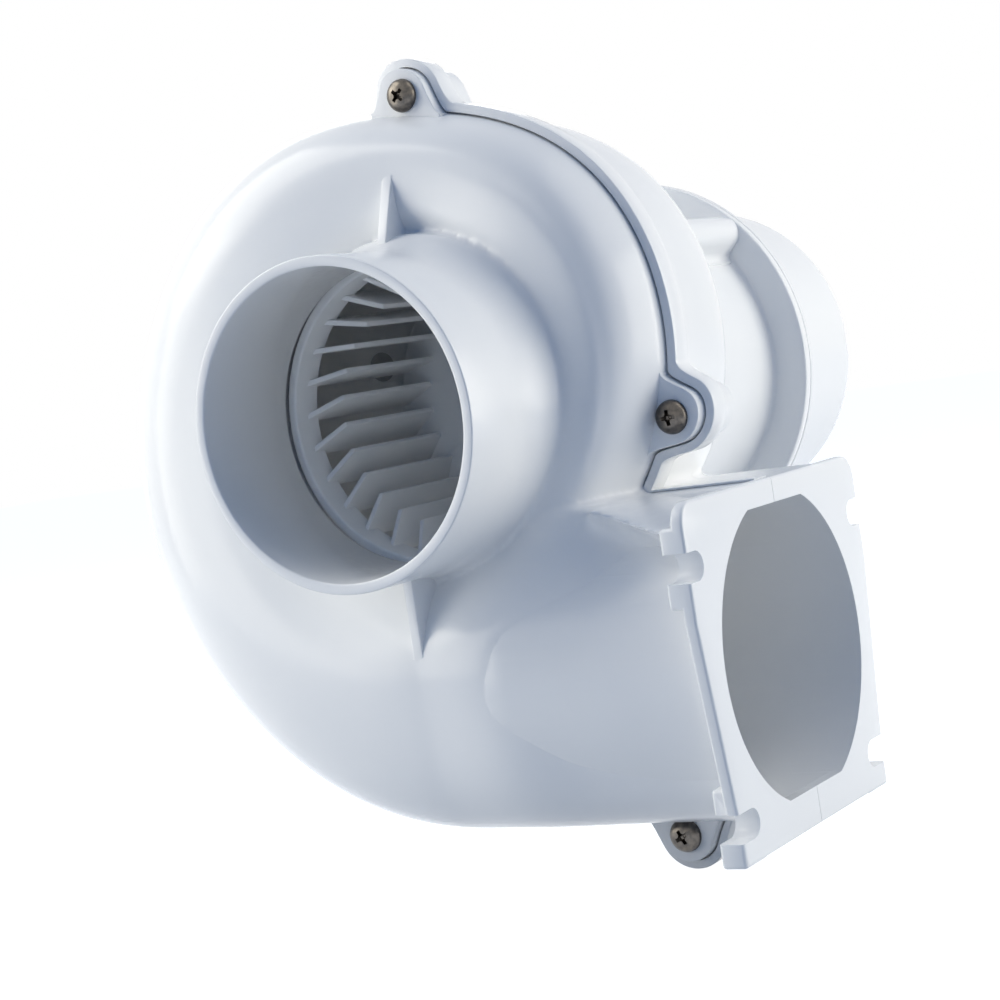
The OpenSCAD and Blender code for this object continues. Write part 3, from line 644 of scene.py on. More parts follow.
    def duct_section(self, x: float, inset: float) -> list[Point]:
        """Front half of the duct's section.

        Args:
            x: distance from the fan's axis.
            inset: distance inside the outer skin, 0 for the skin itself.

        Returns:
            Points of distance below the fan's axis and height over the parting plane.
        """
        inner = self.duct_inner(x, inset)
        outer = self.bottom_r - inset
        crest = self.crest_knots[-1] + self.down_duct(self.duct_rise_knots, x) - inset
        valley = crest - self.down_duct(self.duct_valley_knots, x)
        way = (x - self.tongue_x) / (self.duct_end_x - self.tongue_x)
        edge = 0.0
        if inset == 0:
            edge = smooth_step((x - self.tongue_x + self.gusset_lead) / (2 * self.gusset_lead))
        gusset = edge * max(0.0, mix(self.gusset_root, self.gusset_end, way) - valley)
        top = inner + edge * self.gusset_drop * smooth_step(way)
        points = [(inner, -self.skirt)]
        for i in range(self.wall_steps):
            t = (i / self.wall_steps) ** self.wall_crowding
            z = mix(top, self.duct_crest_z, t)
            u = min(1.0, (z - top) / self.gusset_reach)
            hollow = (crest - valley) * (1 - t) ** self.plain_power
            points.append((z, crest - hollow + gusset * (1 - u) ** self.gusset_sweep))
        points += self.turned_down(self.duct_crest_z, outer, outer, crest, 0, self.duct_turn)
        points.append((outer, -self.skirt))
        return [self.rounded_off(p, x) for p in points] if inset > 0 else points

    def rounded_off(self, point: Point, x: float) -> Point:
        """Draws a point of the duct's inside towards the round bore on its way to the outlet.

        Args:
            point: its distance below the axis and its height.
            x: distance from the fan's axis.

        Returns:
            The point with its new height.
        """
        z, depth = point
        way = smooth_step(x / (self.duct_end_x - self.plain_end))
        half = math.sqrt(max(0.0, self.tube_ir ** 2 - (z + self.outlet_z) ** 2))
        return (z, mix(depth, min(depth, half), way) if depth > 0 else depth)

    def rear_section(self, inner: float, outer: float, inset: float) -> list[Point]:
        """Rear half of a section.

        Args:
            inner: radius of its inner side.
            outer: radius of its outer side.
            inset: distance inside the outer skin, 0 for the skin itself.

        Returns:
            Points of radius and depth behind the parting plane.
        """
        depth = self.back_y - self.parting_y - inset
        mid, half, power = (inner + outer) / 2, (outer - inner) / 2, 2 / self.squareness
        points = [(inner, -self.skirt), (inner, depth)]
        for i in range(self.rear_steps + 1):
            a = math.radians(90 - 90 * i / self.rear_steps)
            points.append((mid + half * math.cos(a) ** power, depth * math.sin(a) ** power))
        points.append((outer, -self.skirt))
        return points

    def place(self, half: Half, angle: float, x: float, points: Sequence[Point]) -> list[Vector]:
        """Points of a section in the frame."""
        c, s = math.cos(math.radians(angle)), math.sin(math.radians(angle))
        return [Vector((x + r * c, self.parting_y + half.value * d, r * s)) for r, d in points]

    def spiral(self, half: Half, inset: float) -> Solid:
        """The spiral part of one half as a solid.

        Args:
            half: half of the casing.
            inset: distance inside the outer skin, 0 for the skin itself.

        Returns:
            A closed bmesh in metres.
        """
        rings = []
        for i in range(self.spiral_stations + 1):
            angle = mix(self.first_angle, self.last_angle, i / self.spiral_stations)
            if half is Half.FRONT:
                points = self.front_section(angle, inset)
            else:
                points = self.rear_section(self.core(inset), self.radius(angle) - inset, inset)
            rings.append(self.place(half, angle, 0, points))
        return Mesher.loft(rings)

    def duct(self, half: Half, inset: float) -> Solid:
        """The straight part of one half as a solid.

        Args:
            half: half of the casing.
            inset: distance inside the outer skin, 0 for the skin itself.

        Returns:
            A closed bmesh in metres.
        """
        end_x = self.duct_end_x - self.plain_end if inset > 0 else self.duct_end_x + self.overlap
        rings = []
        for i in range(self.duct_stations + 1):
            x = mix(-self.overlap, end_x, i / self.duct_stations)
            if half is Half.FRONT:
                points = self.duct_section(x, inset)
            else:
                points = self.rear_section(self.duct_inner(x, inset), self.bottom_r - inset, inset)
                if inset > 0:
                    points = [self.rounded_off(p, x) for p in points]
            rings.append(self.place(half, self.last_angle, x, points))
        return Mesher.loft(rings)

    def outlet_point(self, x: float, u: float, v: float) -> Vector:
        """Point at a distance along the outlet and at two distances from its axis."""
        return Vector((x, self.parting_y + u, self.outlet_z + v))

    def tube(self, r: float, start_x: float, end_x: float) -> Solid:
        """Round bar along the outlet's axis."""
        ends = [self.outlet_point(x, 0, 0) for x in (start_x, end_x)]
        return Mesher.bar(*ends, r, self.tube_segments)

    def nose(self, r: float) -> Solid:
        """Round inner end of the outlet tube."""
        return Mesher.ball(self.outlet_point(self.nose_x, 0, 0), r, self.ball_segments)

    def on_tube(self, point: Vector) -> bool:
        """Whether a point lies on the outlet tube's skin or on its round end."""
        away = point - self.outlet_point(max(self.nose_x, point.x), 0, 0)
        return abs(away.length - self.tube_r) < self.tube_tolerance


@dataclass(frozen=True)
class Ear:
    """Place of a screw ear on the casing's wall, on the spiral or below the straight duct."""

    angle: float
    along_x: float | None
    cross: float

    def at(self, form: ScrollForm, s: float, rise: float, y: float, offset: float) -> Vector:
        """Point at a way along the wall and a rise over it.

        Args:
            form: the scroll's shape.
            s: way along the wall from the ear's middle.
            rise: distance outside the wall.
            y: place along the fan's axis.
            offset: distance of the ear's centre outside the wall, at which the way is measured.

        Returns:
            The point in the frame.
        """
        if self.along_x is not None:
            return Vector((self.along_x + s, y, -form.bottom_r - rise))
        turn = self.angle + math.degrees(s / (form.radius(self.angle) + offset))
        return polar(turn, form.radius(turn) + rise, y)


@dataclass
class ScrollCasing:
    """The two halves of the scroll casing, with their ears, lip, ribs and outlet flange."""

    # skin
    form: ScrollForm = field(default_factory=ScrollForm)
    voxel: float = 0.78
    ease_rounds: int = 8
    sharp: float = 62.0
    front_tongue: Corner = (Vector((40, 32, -27)), Vector((45.5, 55.4, -27)), 9.0, 40)
    rear_tongue: Corner = (Vector((45.5, 55.4, -27)), Vector((45.5, 80, -27)), 8.0, 30)
    gusset_soft: float = 6.0
    gusset_rounds: int = 24
    seam_gap: float = 0.08
    # collar and ribs
    hose_len: float = 18.4
    rim_rounding: float = 0.35
    flare_y: float = 19.5
    flare_len: float = 16.5
    collar_sink: float = 2.0
    collar_over: float = 0.5
    hairline: float = 0.01
    step_y: float = 31.0
    bore_edge: tuple[Point, ...] = ((0.4, 0.0), (0.1, 0.12), (0.0, 0.45))
    bore_skin: float = 1.0
    neck_run: float = 4.0
    rib_t: float = 2.6
    rib_rounding: float = 0.3
    rib_sink: float = 1.5
    rib_depth: float = 8.0
    ribs: tuple[tuple[float, float, float, float], ...] = (
        (90.0, 30.9, 56.6, 38.5), (180.0, 24.5, 64.0, 25.9), (270.0, 20.3, 63.1, 20.0))
    # ears and their screws
    ears: tuple[Ear, ...] = (Ear(90.0, None, 45.0), Ear(-9.6, None, 4.0), Ear(270.0, 46.3, 28.0))
    ear_r: float = 6.5
    ear_offset: float = 4.0
    ear_spread: float = 65.0
    ear_flare: float = 4.5
    ear_root: float = 6.0
    ear_rounding: float = 1.6
    seat_y: float = 50.0
    boss_end_y: float = 68.4
    screw_hole_r: float = 2.15
    screw_len: float = 15.9
    screw_lead: float = 5.0
    screw_run: float = 3.0
    insert_r: float = 3.25
    insert_end_y: float = 65.9
    # lip round the joint
    lip_w: float = 2.6
    ear_lip_w: float = 2.45
    lip_front_y: float = 53.0
    lip_rear_y: float = 59.4
    lip_rounding: float = 0.4
    lip_gap: float = 0.45
    lip_start: float = -40.0
    lip_end: float = 104.0
    lip_fade: float = 86.0
    lip_fade_len: float = 10.0
    lip_sink: float = 1.2
    duct_lip_w: float = 0.6
    strip_lead: float = 4.0
    strip_rounding: float = 0.2
    strip_gap: float = 0.12
    room_depth: float = 8.0
    room_x: float = -20.0
    # back wall
    back_inner_y: float = 88.0
    pilot_r: float = 11.05
    wall_seat_r: float = 4.0
    wall_hole_r: float = 2.1
    wall_hole_len: float = 0.6
    wall_seat_lead: float = 2.0
    # outlet flange
    mouth_flat: float = 32.6
    flange_half_w: float = 45.0
    flange_top: float = 38.3
    flange_corner_r: float = 5.0
    flange_taper_z: float = 12.8
    flange_foot_half_w: float = 38.0
    flange_foot: float = 41.2
    flange_rounding: float = 0.7
    lug_t: float = 6.0
    lug_half_h: float = 8.75
    lug_rounding: float = 0.9
    lug_sink: float = 2.0
    slot_half: float = 3.25
    slots: tuple[tuple[float, float], ...] = ((38.0, 24.5), (30.0, -32.7))
    slot_run: float = 40.0
    # reach of the cuts
    overlap: float = 1.0
    bore_overlap: float = 0.1
    far: float = 200.0
    far_y: float = 150.0
    # numbers of steps
    flare_steps: int = 12
    ear_steps: int = 72
    ear_segments: int = 5
    lip_steps: int = 576
    lip_root_every: int = 12
    slot_steps: int = 16
    mouth_steps: int = 48
    collar_steps: int = 256
    core_steps: int = 192
    pilot_steps: int = 96
    hole_steps: int = 32

    def bump(self, s: float, r: float, offset: float) -> float:
        """Outline of an ear over the wall, with flanks that flare into it.

        Args:
            s: way along the wall from the ear's middle.
            r: radius of the ear.
            offset: distance of the ear's centre outside the wall.

        Returns:
            The rise over the wall, 0 past the flare.
        """
        spread = math.radians(self.ear_spread)
        edge = r * math.sin(spread)
        if abs(s) <= edge:
            return offset + math.sqrt(r * r - s * s)
        t = (abs(s) - edge) / self.ear_flare
        if t >= 1:
            return 0.0
        rise = offset + r * math.cos(spread)
        slope = -math.tan(spread) * self.ear_flare
        return rise * (2 * t ** 3 - 3 * t ** 2 + 1) + slope * (t ** 3 - 2 * t ** 2 + t)

    def ear_outline(self, ear: Ear, r: float, y: float, base: float) -> list[Vector]:
        """Outline of an ear's solid across the fan's axis.

        Args:
            ear: place of the ear.
            r: radius of the ear.
            y: place of the outline along the fan's axis.
            base: rise of the wall that the flanks run into.

        Returns:
            The corners, closed through the casing's wall.
        """
        reach = r * math.sin(math.radians(self.ear_spread)) + self.ear_flare
        ways = [mix(-reach, reach, i / self.ear_steps) for i in range(self.ear_steps + 1)]
        offset = self.ear_offset - base
        rim = [ear.at(self.form, s, base + self.bump(s, r, offset), y, self.ear_offset) for s in ways]
        root = [ear.at(self.form, s, -self.ear_root, y, self.ear_offset) for s in (reach, 0, -reach)]
        return rim + root

    def ear_solid(self, ear: Ear, r: float, y0: float, y1: float, rounding: float,
                  base: float = 0.0) -> Solid:
        """Ear between two planes, with a rounded front rim."""
        outline = self.ear_outline(ear, r, y0, base)
        return Mesher.prism(outline, Vector((0, y1 - y0, 0)), rounding, True, self.ear_segments)

    def lip_rise(self, angle: float, grow: float, lip: bool) -> float:
        """Rise of the lip's outer or inner edge over the scroll's wall at an angle.

        Args:
            angle: place round the fan's axis.
            grow: growth of the edge over the front half's outline.
            lip: whether the lip's own width is counted.

        Returns:
            The rise in millimetres.
        """
        base = grow
        if lip:
            base = mix(self.lip_w, -self.lip_sink, smooth_step((angle - self.lip_fade) / self.lip_fade_len))
        r = self.ear_r + (self.ear_lip_w if lip else grow)
        rise = base
        for ear in self.ears[:2]:
            centre_r = self.form.radius(ear.angle) + self.ear_offset
            s = math.radians(angle - ear.angle) * centre_r
            rise = max(rise, base + self.bump(s, r, self.ear_offset - base))
        return rise

    def lip_band(self, grow: float, lip: bool, y0: float, y1: float, rounding: float) -> Solid:
        """Band along the scroll's wall from the outlet past the tongue to 12 o'clock.

        Args:
            grow: growth of the edge over the front half's outline.
            lip: whether the lip's own width is counted.
            y0: place of the front end along the fan's axis.
            y1: place of the rear end.
            rounding: radius of the edges' rounding.

        Returns:
            A closed bmesh in metres.
        """
        count = self.lip_steps
        angles = [mix(self.lip_start, self.lip_end, i / count) for i in range(count + 1)]
        rim = [polar(a, self.form.radius(a) + self.lip_rise(a, grow, lip), y0) for a in angles]
        few = reversed(angles[::self.lip_root_every])
        inner = [polar(a, self.form.radius(a) - self.ear_root, y0) for a in few]
        return Mesher.prism(rim + inner, Vector((0, y1 - y0, 0)), rounding)

    def duct_strip(self) -> Solid:
        """The lip's strip along the duct's upper wall.

        Returns:
            A closed bmesh in metres.
        """
        f = self.form
        low = Vector((f.tongue_x - self.strip_lead, self.lip_front_y, -f.duct_top - f.wall))
        high = Vector((f.duct_end_x, self.lip_rear_y, -f.duct_top + self.duct_lip_w))
        return Mesher.block(low, high, self.strip_rounding)

    def rib(self, angle: float, start_y: float, tip_r: float, tip_y: float) -> Solid:
        """Rib between the collar and the face.

        Args:
            angle: place round the fan's axis.
            start_y: place of its upper edge on the collar.
            tip_r: radius of its outer end.
            tip_y: place of its upper edge there.

        Returns:
            A closed bmesh in metres.
        """
        f = self.form
        inside, deep = f.collar_r - self.rib_sink, f.parting_y - self.rib_depth
        corners = ((inside, start_y), (f.root_r, start_y), (tip_r, tip_y), (tip_r, deep), (inside, deep))
        outline = [Vector((r, y, -self.rib_t / 2)) for r, y in corners]
        bm = Mesher.prism(outline, Vector((0, 0, self.rib_t)), self.rib_rounding)
        return Mesher.moved(bm, about_axis(angle))

    def flange(self) -> list[Solid]:
        """Plate and lugs of the outlet flange, in both halves at once.

        Returns:
            The plate and the four lugs.
        """
        f = self.form
        half, c, top = self.flange_half_w, self.flange_corner_r, self.flange_top
        profile = arc(half - c, top - c, c, 0, 90) + arc(c - half, top - c, c, 90, 180)
        profile += [(-half, self.flange_taper_z), (-self.flange_foot_half_w, -self.flange_foot)]
        profile += [(self.flange_foot_half_w, -self.flange_foot), (half, self.flange_taper_z)]
        outline = [f.outlet_point(f.duct_end_x, u, v) for u, v in profile]
        depth = Vector((f.outlet_reach - f.duct_end_x, 0, 0))
        solids = [Mesher.prism(outline, depth, self.flange_rounding, segments=4)]
        for side in (-1, 1):
            for tip, v in self.slots:
                taper = (self.flange_taper_z - v) / (self.flange_taper_z + self.flange_foot)
                outer = mix(half, self.flange_foot_half_w, max(0.0, taper))
                u0, u1 = sorted((side * (tip - self.lug_sink), side * outer))
                low = f.outlet_point(f.outlet_reach - self.lug_t, u0, v - self.lug_half_h)
                high = f.outlet_point(f.outlet_reach, u1, v + self.lug_half_h)
                solids.append(Mesher.block(low, high, self.lug_rounding))
        return solids

    def slot_cuts(self) -> Solid:
        """The four bolt slots.

        Returns:
            A closed bmesh in metres.
        """
        f = self.form
        cuts = []
        for side in (-1, 1):
            for tip, v in self.slots:
                r, end = self.slot_half, tip + self.slot_run
                profile = arc(tip + r, v, r, 90, 270, self.slot_steps) + [(end, v - r), (end, v + r)]
                start_x = f.outlet_reach - self.lug_t - self.overlap
                outline = [f.outlet_point(start_x, side * u, w) for u, w in profile]
                cuts.append(Mesher.prism(outline, Vector((self.lug_t + 2 * self.overlap, 0, 0))))
        return Mesher.joined(cuts)

    def mouth(self) -> Solid:
        """The outlet's mouth: a round hole with a flat above and below.

        Returns:
            A closed bmesh in metres.
        """
        f = self.form
        turn = math.degrees(math.asin(self.mouth_flat / f.tube_ir))
        profile = arc(0, 0, f.tube_ir, -turn, turn, self.mouth_steps)
        profile += arc(0, 0, f.tube_ir, 180 - turn, 180 + turn, self.mouth_steps)
        outline = [f.outlet_point(f.duct_end_x - self.overlap, u, v) for u, v in profile]
        return Mesher.prism(outline, Vector((f.outlet_reach - f.duct_end_x + 2 * self.overlap, 0, 0)))

    def screw_point(self, ear: Ear, y: float) -> Vector:
        """Point on the axis of an ear's screw."""
        return ear.at(self.form, 0, self.ear_offset, y, self.ear_offset)

    def screw_bars(self, r: float, y0: float, y1: float) -> Solid:
        """Round bars on the three screws' axes."""
        ends = [(self.screw_point(ear, y0), self.screw_point(ear, y1)) for ear in self.ears]
        return Mesher.joined([Mesher.bar(a, b, r, self.hole_steps) for a, b in ends])

    def screw_seats(self) -> list[tuple[Matrix, float]]:
        """Places of the screws' seats, with the turns of their crosses in degrees."""
        return [(Matrix.Translation(self.screw_point(e, self.seat_y) * MM), e.cross) for e in self.ears]

    def half_space(self, half: Half) -> Solid:
        """Block that takes away everything past the plane where the halves meet.

        Args:
            half: half that the block is taken away from.

        Returns:
            A closed bmesh in metres.
        """
        y = self.form.parting_y + half.value * self.seam_gap
        near, past = sorted((y, y - half.value * self.far_y))
        return Mesher.block(Vector((-self.far, near, -self.far)), Vector((self.far, past, self.far)))

    def hollow(self, half: Half, obj: Piece) -> None:
        """Cuts the channel, the outlet's bore, its mouth and the slots out of one half.

        Args:
            half: half of the casing.
            obj: its shell, which changes.
        """
        f = self.form
        bore = f.tube(f.tube_ir, f.nose_x, f.duct_end_x + self.bore_overlap)
        Mesher.carve(obj, Cut.TAKE, f.spiral(half, f.wall), f.duct(half, f.wall), bore, f.nose(f.tube_ir),
                     self.mouth(), self.slot_cuts())

    def crease(self, obj: Piece) -> None:
        """Keeps the line where the outlet tube stands out of the face crisp.

        Args:
            obj: the front shell, which changes.
        """
        bm = bmesh.new()
        bm.from_mesh(obj.data)
        on = {v: self.form.on_tube(v.co / MM) for v in bm.verts}
        for edge in bm.edges:
            sides = [all(on[v] for v in face.verts) for face in edge.link_faces]
            if len(sides) == 2 and sides[0] != sides[1]:
                edge.smooth = False
        bm.to_mesh(obj.data)
        bm.free()

    def collar_root(self, inside: float, past: float) -> Solid:
        """Root of the hose collar, which widens into the face.

        Args:
            inside: radius of its inner side.
            past: place of its end along the fan's axis.

        Returns:
            A closed bmesh in metres.
        """
        f, n = self.form, self.flare_steps
        drop = f.neck_outer_r - f.collar_r
        start = self.hose_len - self.collar_sink
        ring = [(inside, start), (f.collar_r, start), (f.collar_r, self.hose_len + self.collar_over)]
        for i in range(n + 1):
            ring.append((f.collar_r + drop * (i / n) ** 2, self.flare_y + self.flare_len * i / n))
        ring += [(f.neck_outer_r, past), (inside, past), ring[0]]
        return Mesher.lathe(ring, self.collar_steps)

    def inlet_bore(self) -> Solid:
        """The inlet's bore, with a broken edge and the step in front of the fan.

        Returns:
            A closed bmesh in metres.
        """
        f = self.form
        end = f.parting_y + self.neck_run
        edge = [(f.bore_r + u, y) for u, y in self.bore_edge]
        bore = [(0, -self.overlap), (edge[0][0], -self.overlap), *edge, (f.bore_r, self.step_y)]
        bore += [(f.neck_r, self.step_y + f.neck_r - f.bore_r), (f.neck_r, end), (0, end)]
        return Mesher.lathe(bore, self.collar_steps)

    def front(self) -> Piece:
        """Builds the front half with the hose collar.

        Returns:
            The front shell.
        """
        f = self.form
        inside, past = f.bore_r - self.bore_skin, f.parting_y + self.overlap
        skin = [f.spiral(Half.FRONT, 0), f.duct(Half.FRONT, 0), self.collar_root(inside, past)]
        obj = Mesher.as_object(Mesher.joined(skin), "front_shell")
        Mesher.blend(obj, self.voxel, self.ease_rounds)
        Mesher.soften(obj, *self.front_tongue)
        edge = Vector((f.tongue_x, f.parting_y - f.gusset_root, -f.duct_top))
        end = Vector((f.duct_end_x, f.parting_y - f.gusset_end, -f.duct_top - f.gusset_drop))
        Mesher.soften(obj, edge, end, self.gusset_soft, self.gusset_rounds)
        Mesher.carve(obj, Cut.ADD, f.tube(f.tube_r, f.nose_x, f.duct_end_x + self.overlap), f.nose(f.tube_r))
        r = self.rim_rounding
        collar = [(inside, 0)] + arc(f.collar_r - r, r, r, -90, 0, 5)
        collar += [(f.collar_r + self.hairline, self.hose_len), (inside, self.hose_len), (inside, 0)]
        ribs = [self.rib(*rib) for rib in self.ribs]
        Mesher.carve(obj, Cut.ADD, Mesher.lathe(collar, self.collar_steps), *ribs)
        ears = [self.ear_solid(e, self.ear_r, self.seat_y, past, self.ear_rounding) for e in self.ears]
        Mesher.carve(obj, Cut.ADD, *ears, *self.flange())
        self.hollow(Half.FRONT, obj)
        hole_start, hole_end = self.seat_y - self.screw_lead, f.parting_y + self.screw_run
        holes = self.screw_bars(self.screw_hole_r, hole_start, hole_end)
        Mesher.carve(obj, Cut.TAKE, self.inlet_bore(), holes, self.half_space(Half.FRONT))
        Mesher.shade(obj, self.sharp)
        self.crease(obj)
        return obj

    def lip_rooms(self) -> list[Solid]:
        """Room inside the lip for the front half's wall and ears.

        Returns:
            The solids that are taken away.
        """
        f, gap = self.form, self.lip_gap
        start, edge = self.seat_y - self.room_depth, f.parting_y + self.seam_gap
        low = Vector((self.room_x, start, -f.bottom_r - gap))
        high = Vector((self.far, edge, -f.duct_top + self.strip_gap))
        return [self.lip_band(gap, False, start, edge, 0),
                self.ear_solid(self.ears[2], self.ear_r + gap, start, edge, 0, gap), Mesher.block(low, high)]

    def wall_hole(self) -> Solid:
        """Countersunk screw hole of the back wall, on the fan's axis.

        Returns:
            A closed bmesh in metres.
        """
        seat, end = self.back_inner_y, self.form.back_y + self.overlap
        start, r = seat - self.wall_seat_lead, self.wall_seat_r
        hole_start = self.form.back_y - self.wall_hole_len
        profile = [(0, start), (r, start), (r, seat), (self.wall_hole_r, hole_start)]
        return Mesher.lathe(profile + [(self.wall_hole_r, end), (0, end)], self.hole_steps)

    def rear(self, wall_screws: Sequence[Vector]) -> Piece:
        """Builds the rear half with the lip round the front half.

        Args:
            wall_screws: centres of the screws through the back wall.

        Returns:
            The rear shell.
        """
        f = self.form
        core = Mesher.axis_bar(f.parting_y - self.collar_sink, f.back_y, f.neck_outer_r, self.core_steps)
        tube = f.tube(f.tube_r, f.nose_x, f.duct_end_x + self.overlap)
        skin = [f.spiral(Half.REAR, 0), f.duct(Half.REAR, 0), tube, f.nose(f.tube_r), core]
        obj = Mesher.as_object(Mesher.joined(skin), "rear_shell")
        Mesher.blend(obj, self.voxel, self.ease_rounds)
        Mesher.soften(obj, *self.rear_tongue)
        Mesher.carve(obj, Cut.ADD, *self.flange())
        Mesher.carve(obj, Cut.TAKE, self.half_space(Half.REAR))
        lip = self.lip_band(0, True, self.lip_front_y, self.lip_rear_y, self.lip_rounding)
        low = self.ear_solid(self.ears[2], self.ear_r + self.ear_lip_w, self.lip_front_y, self.lip_rear_y,
                             self.lip_rounding)
        start = f.parting_y + self.overlap
        bosses = [self.ear_solid(e, self.ear_r, start, self.boss_end_y, 0) for e in self.ears]
        Mesher.carve(obj, Cut.ADD, lip, self.duct_strip(), low, *bosses)
        Mesher.carve(obj, Cut.TAKE, *self.lip_rooms())
        self.hollow(Half.REAR, obj)
        well = Mesher.axis_bar(0, self.back_inner_y, f.neck_outer_r - f.wall, self.core_steps)
        pilot = Mesher.axis_bar(0, f.back_y + self.overlap, self.pilot_r, self.pilot_steps)
        Mesher.carve(obj, Cut.TAKE, well, pilot, self.screw_bars(self.insert_r, 0, self.insert_end_y))
        for place in wall_screws:
            Mesher.carve(obj, Cut.TAKE, Mesher.moved(self.wall_hole(), Matrix.Translation(place * MM)))
        Mesher.shade(obj, self.sharp)
        return obj


@dataclass
class FanWheel:
    """Fan wheel with a front ring, leaning blades and a back disc on its hub."""

    outer_r: float = 37.4
    ring_y: float = 34.5
    ring_w: float = 9.0
    ring_t: float = 2.4
    ring_rounding: float = 0.6
    blade_count: int = 27
    blade_inner_r: float = 28.5
    blade_tip_r: float = 36.6
    blade_lean: float = 38.0
    blade_t: float = 1.3
    blade_rounding: float = 0.25
    blade_y: float = 39.0
    blade_slope: float = 6.5
    first_angle: float = -5.3
    disc_y: float = 84.0
    disc_t: float = 2.5
    hub_r: float = 10.0
    hub_y: float = 68.5
    hub_bore_r: float = 6.0
    hub_fillet: float = 2.0
    hub_chamfer: float = 0.6
    blade_nose: float = 1.6
    turn_steps: int = 192

    def blade(self, angle: float) -> Solid:
        """One blade, with its front inner corner cut at a slant.

        Args:
            angle: place of its inner edge round the fan's axis.

        Returns:
            The blade as a closed bmesh.
        """
        lean = math.radians(self.blade_lean)
        inner = self.blade_inner_r
        run = -inner * math.cos(lean) + math.sqrt(self.blade_tip_r ** 2 - (inner * math.sin(lean)) ** 2)
        end = self.disc_y + self.disc_t / 2
        corners = ((0, self.blade_y + self.blade_slope), (run - self.blade_nose, self.blade_y),
                   (run, self.blade_y), (run, end), (0, end))
        outline = [Vector((s, y, -self.blade_t / 2)) for s, y in corners]
        bm = Mesher.prism(outline, Vector((0, 0, self.blade_t)), self.blade_rounding, False, 2)
        turn = Matrix.Translation(Vector((inner, 0, 0)) * MM) @ about_axis(self.blade_lean)
        return Mesher.moved(bm, about_axis(angle) @ turn)

    def build(self) -> Piece:
        """Builds the wheel.

        Returns:
            The fan wheel.
        """
        r, w = self.ring_rounding, self.ring_w
        a, b = self.outer_r - self.ring_t, self.outer_r
        y = self.ring_y
        ring = arc(a + r, y + r, r, 180, 270, 4) + arc(b - r, y + r, r, 270, 360, 4)
        ring += arc(b - r, y + w - r, r, 0, 90, 4) + arc(a + r, y + w - r, r, 90, 180, 4)
        end = self.disc_y + self.disc_t
        f, c = self.hub_fillet, self.hub_chamfer
        disc = [(self.hub_bore_r, self.hub_y), (self.hub_r - c, self.hub_y), (self.hub_r, self.hub_y + c)]
        disc += arc(self.hub_r + f, self.disc_y - f, f, 180, 90, 5)
        disc += arc(b - r, self.disc_y + r, r, -90, 0, 4) + arc(b - r, end - r, r, 0, 90, 4)
        disc += [(self.hub_bore_r, end), disc[0]]
        obj = Mesher.as_object(Mesher.lathe(ring + [ring[0]], self.turn_steps), "fan_wheel")
        Mesher.carve(obj, Cut.ADD, Mesher.lathe(disc, self.turn_steps))
        step = 360 / self.blade_count
        blades = [self.blade(self.first_angle + i * step) for i in range(self.blade_count)]
        Mesher.carve(obj, Cut.ADD, Mesher.joined(blades))
        Mesher.shade(obj)
        return obj


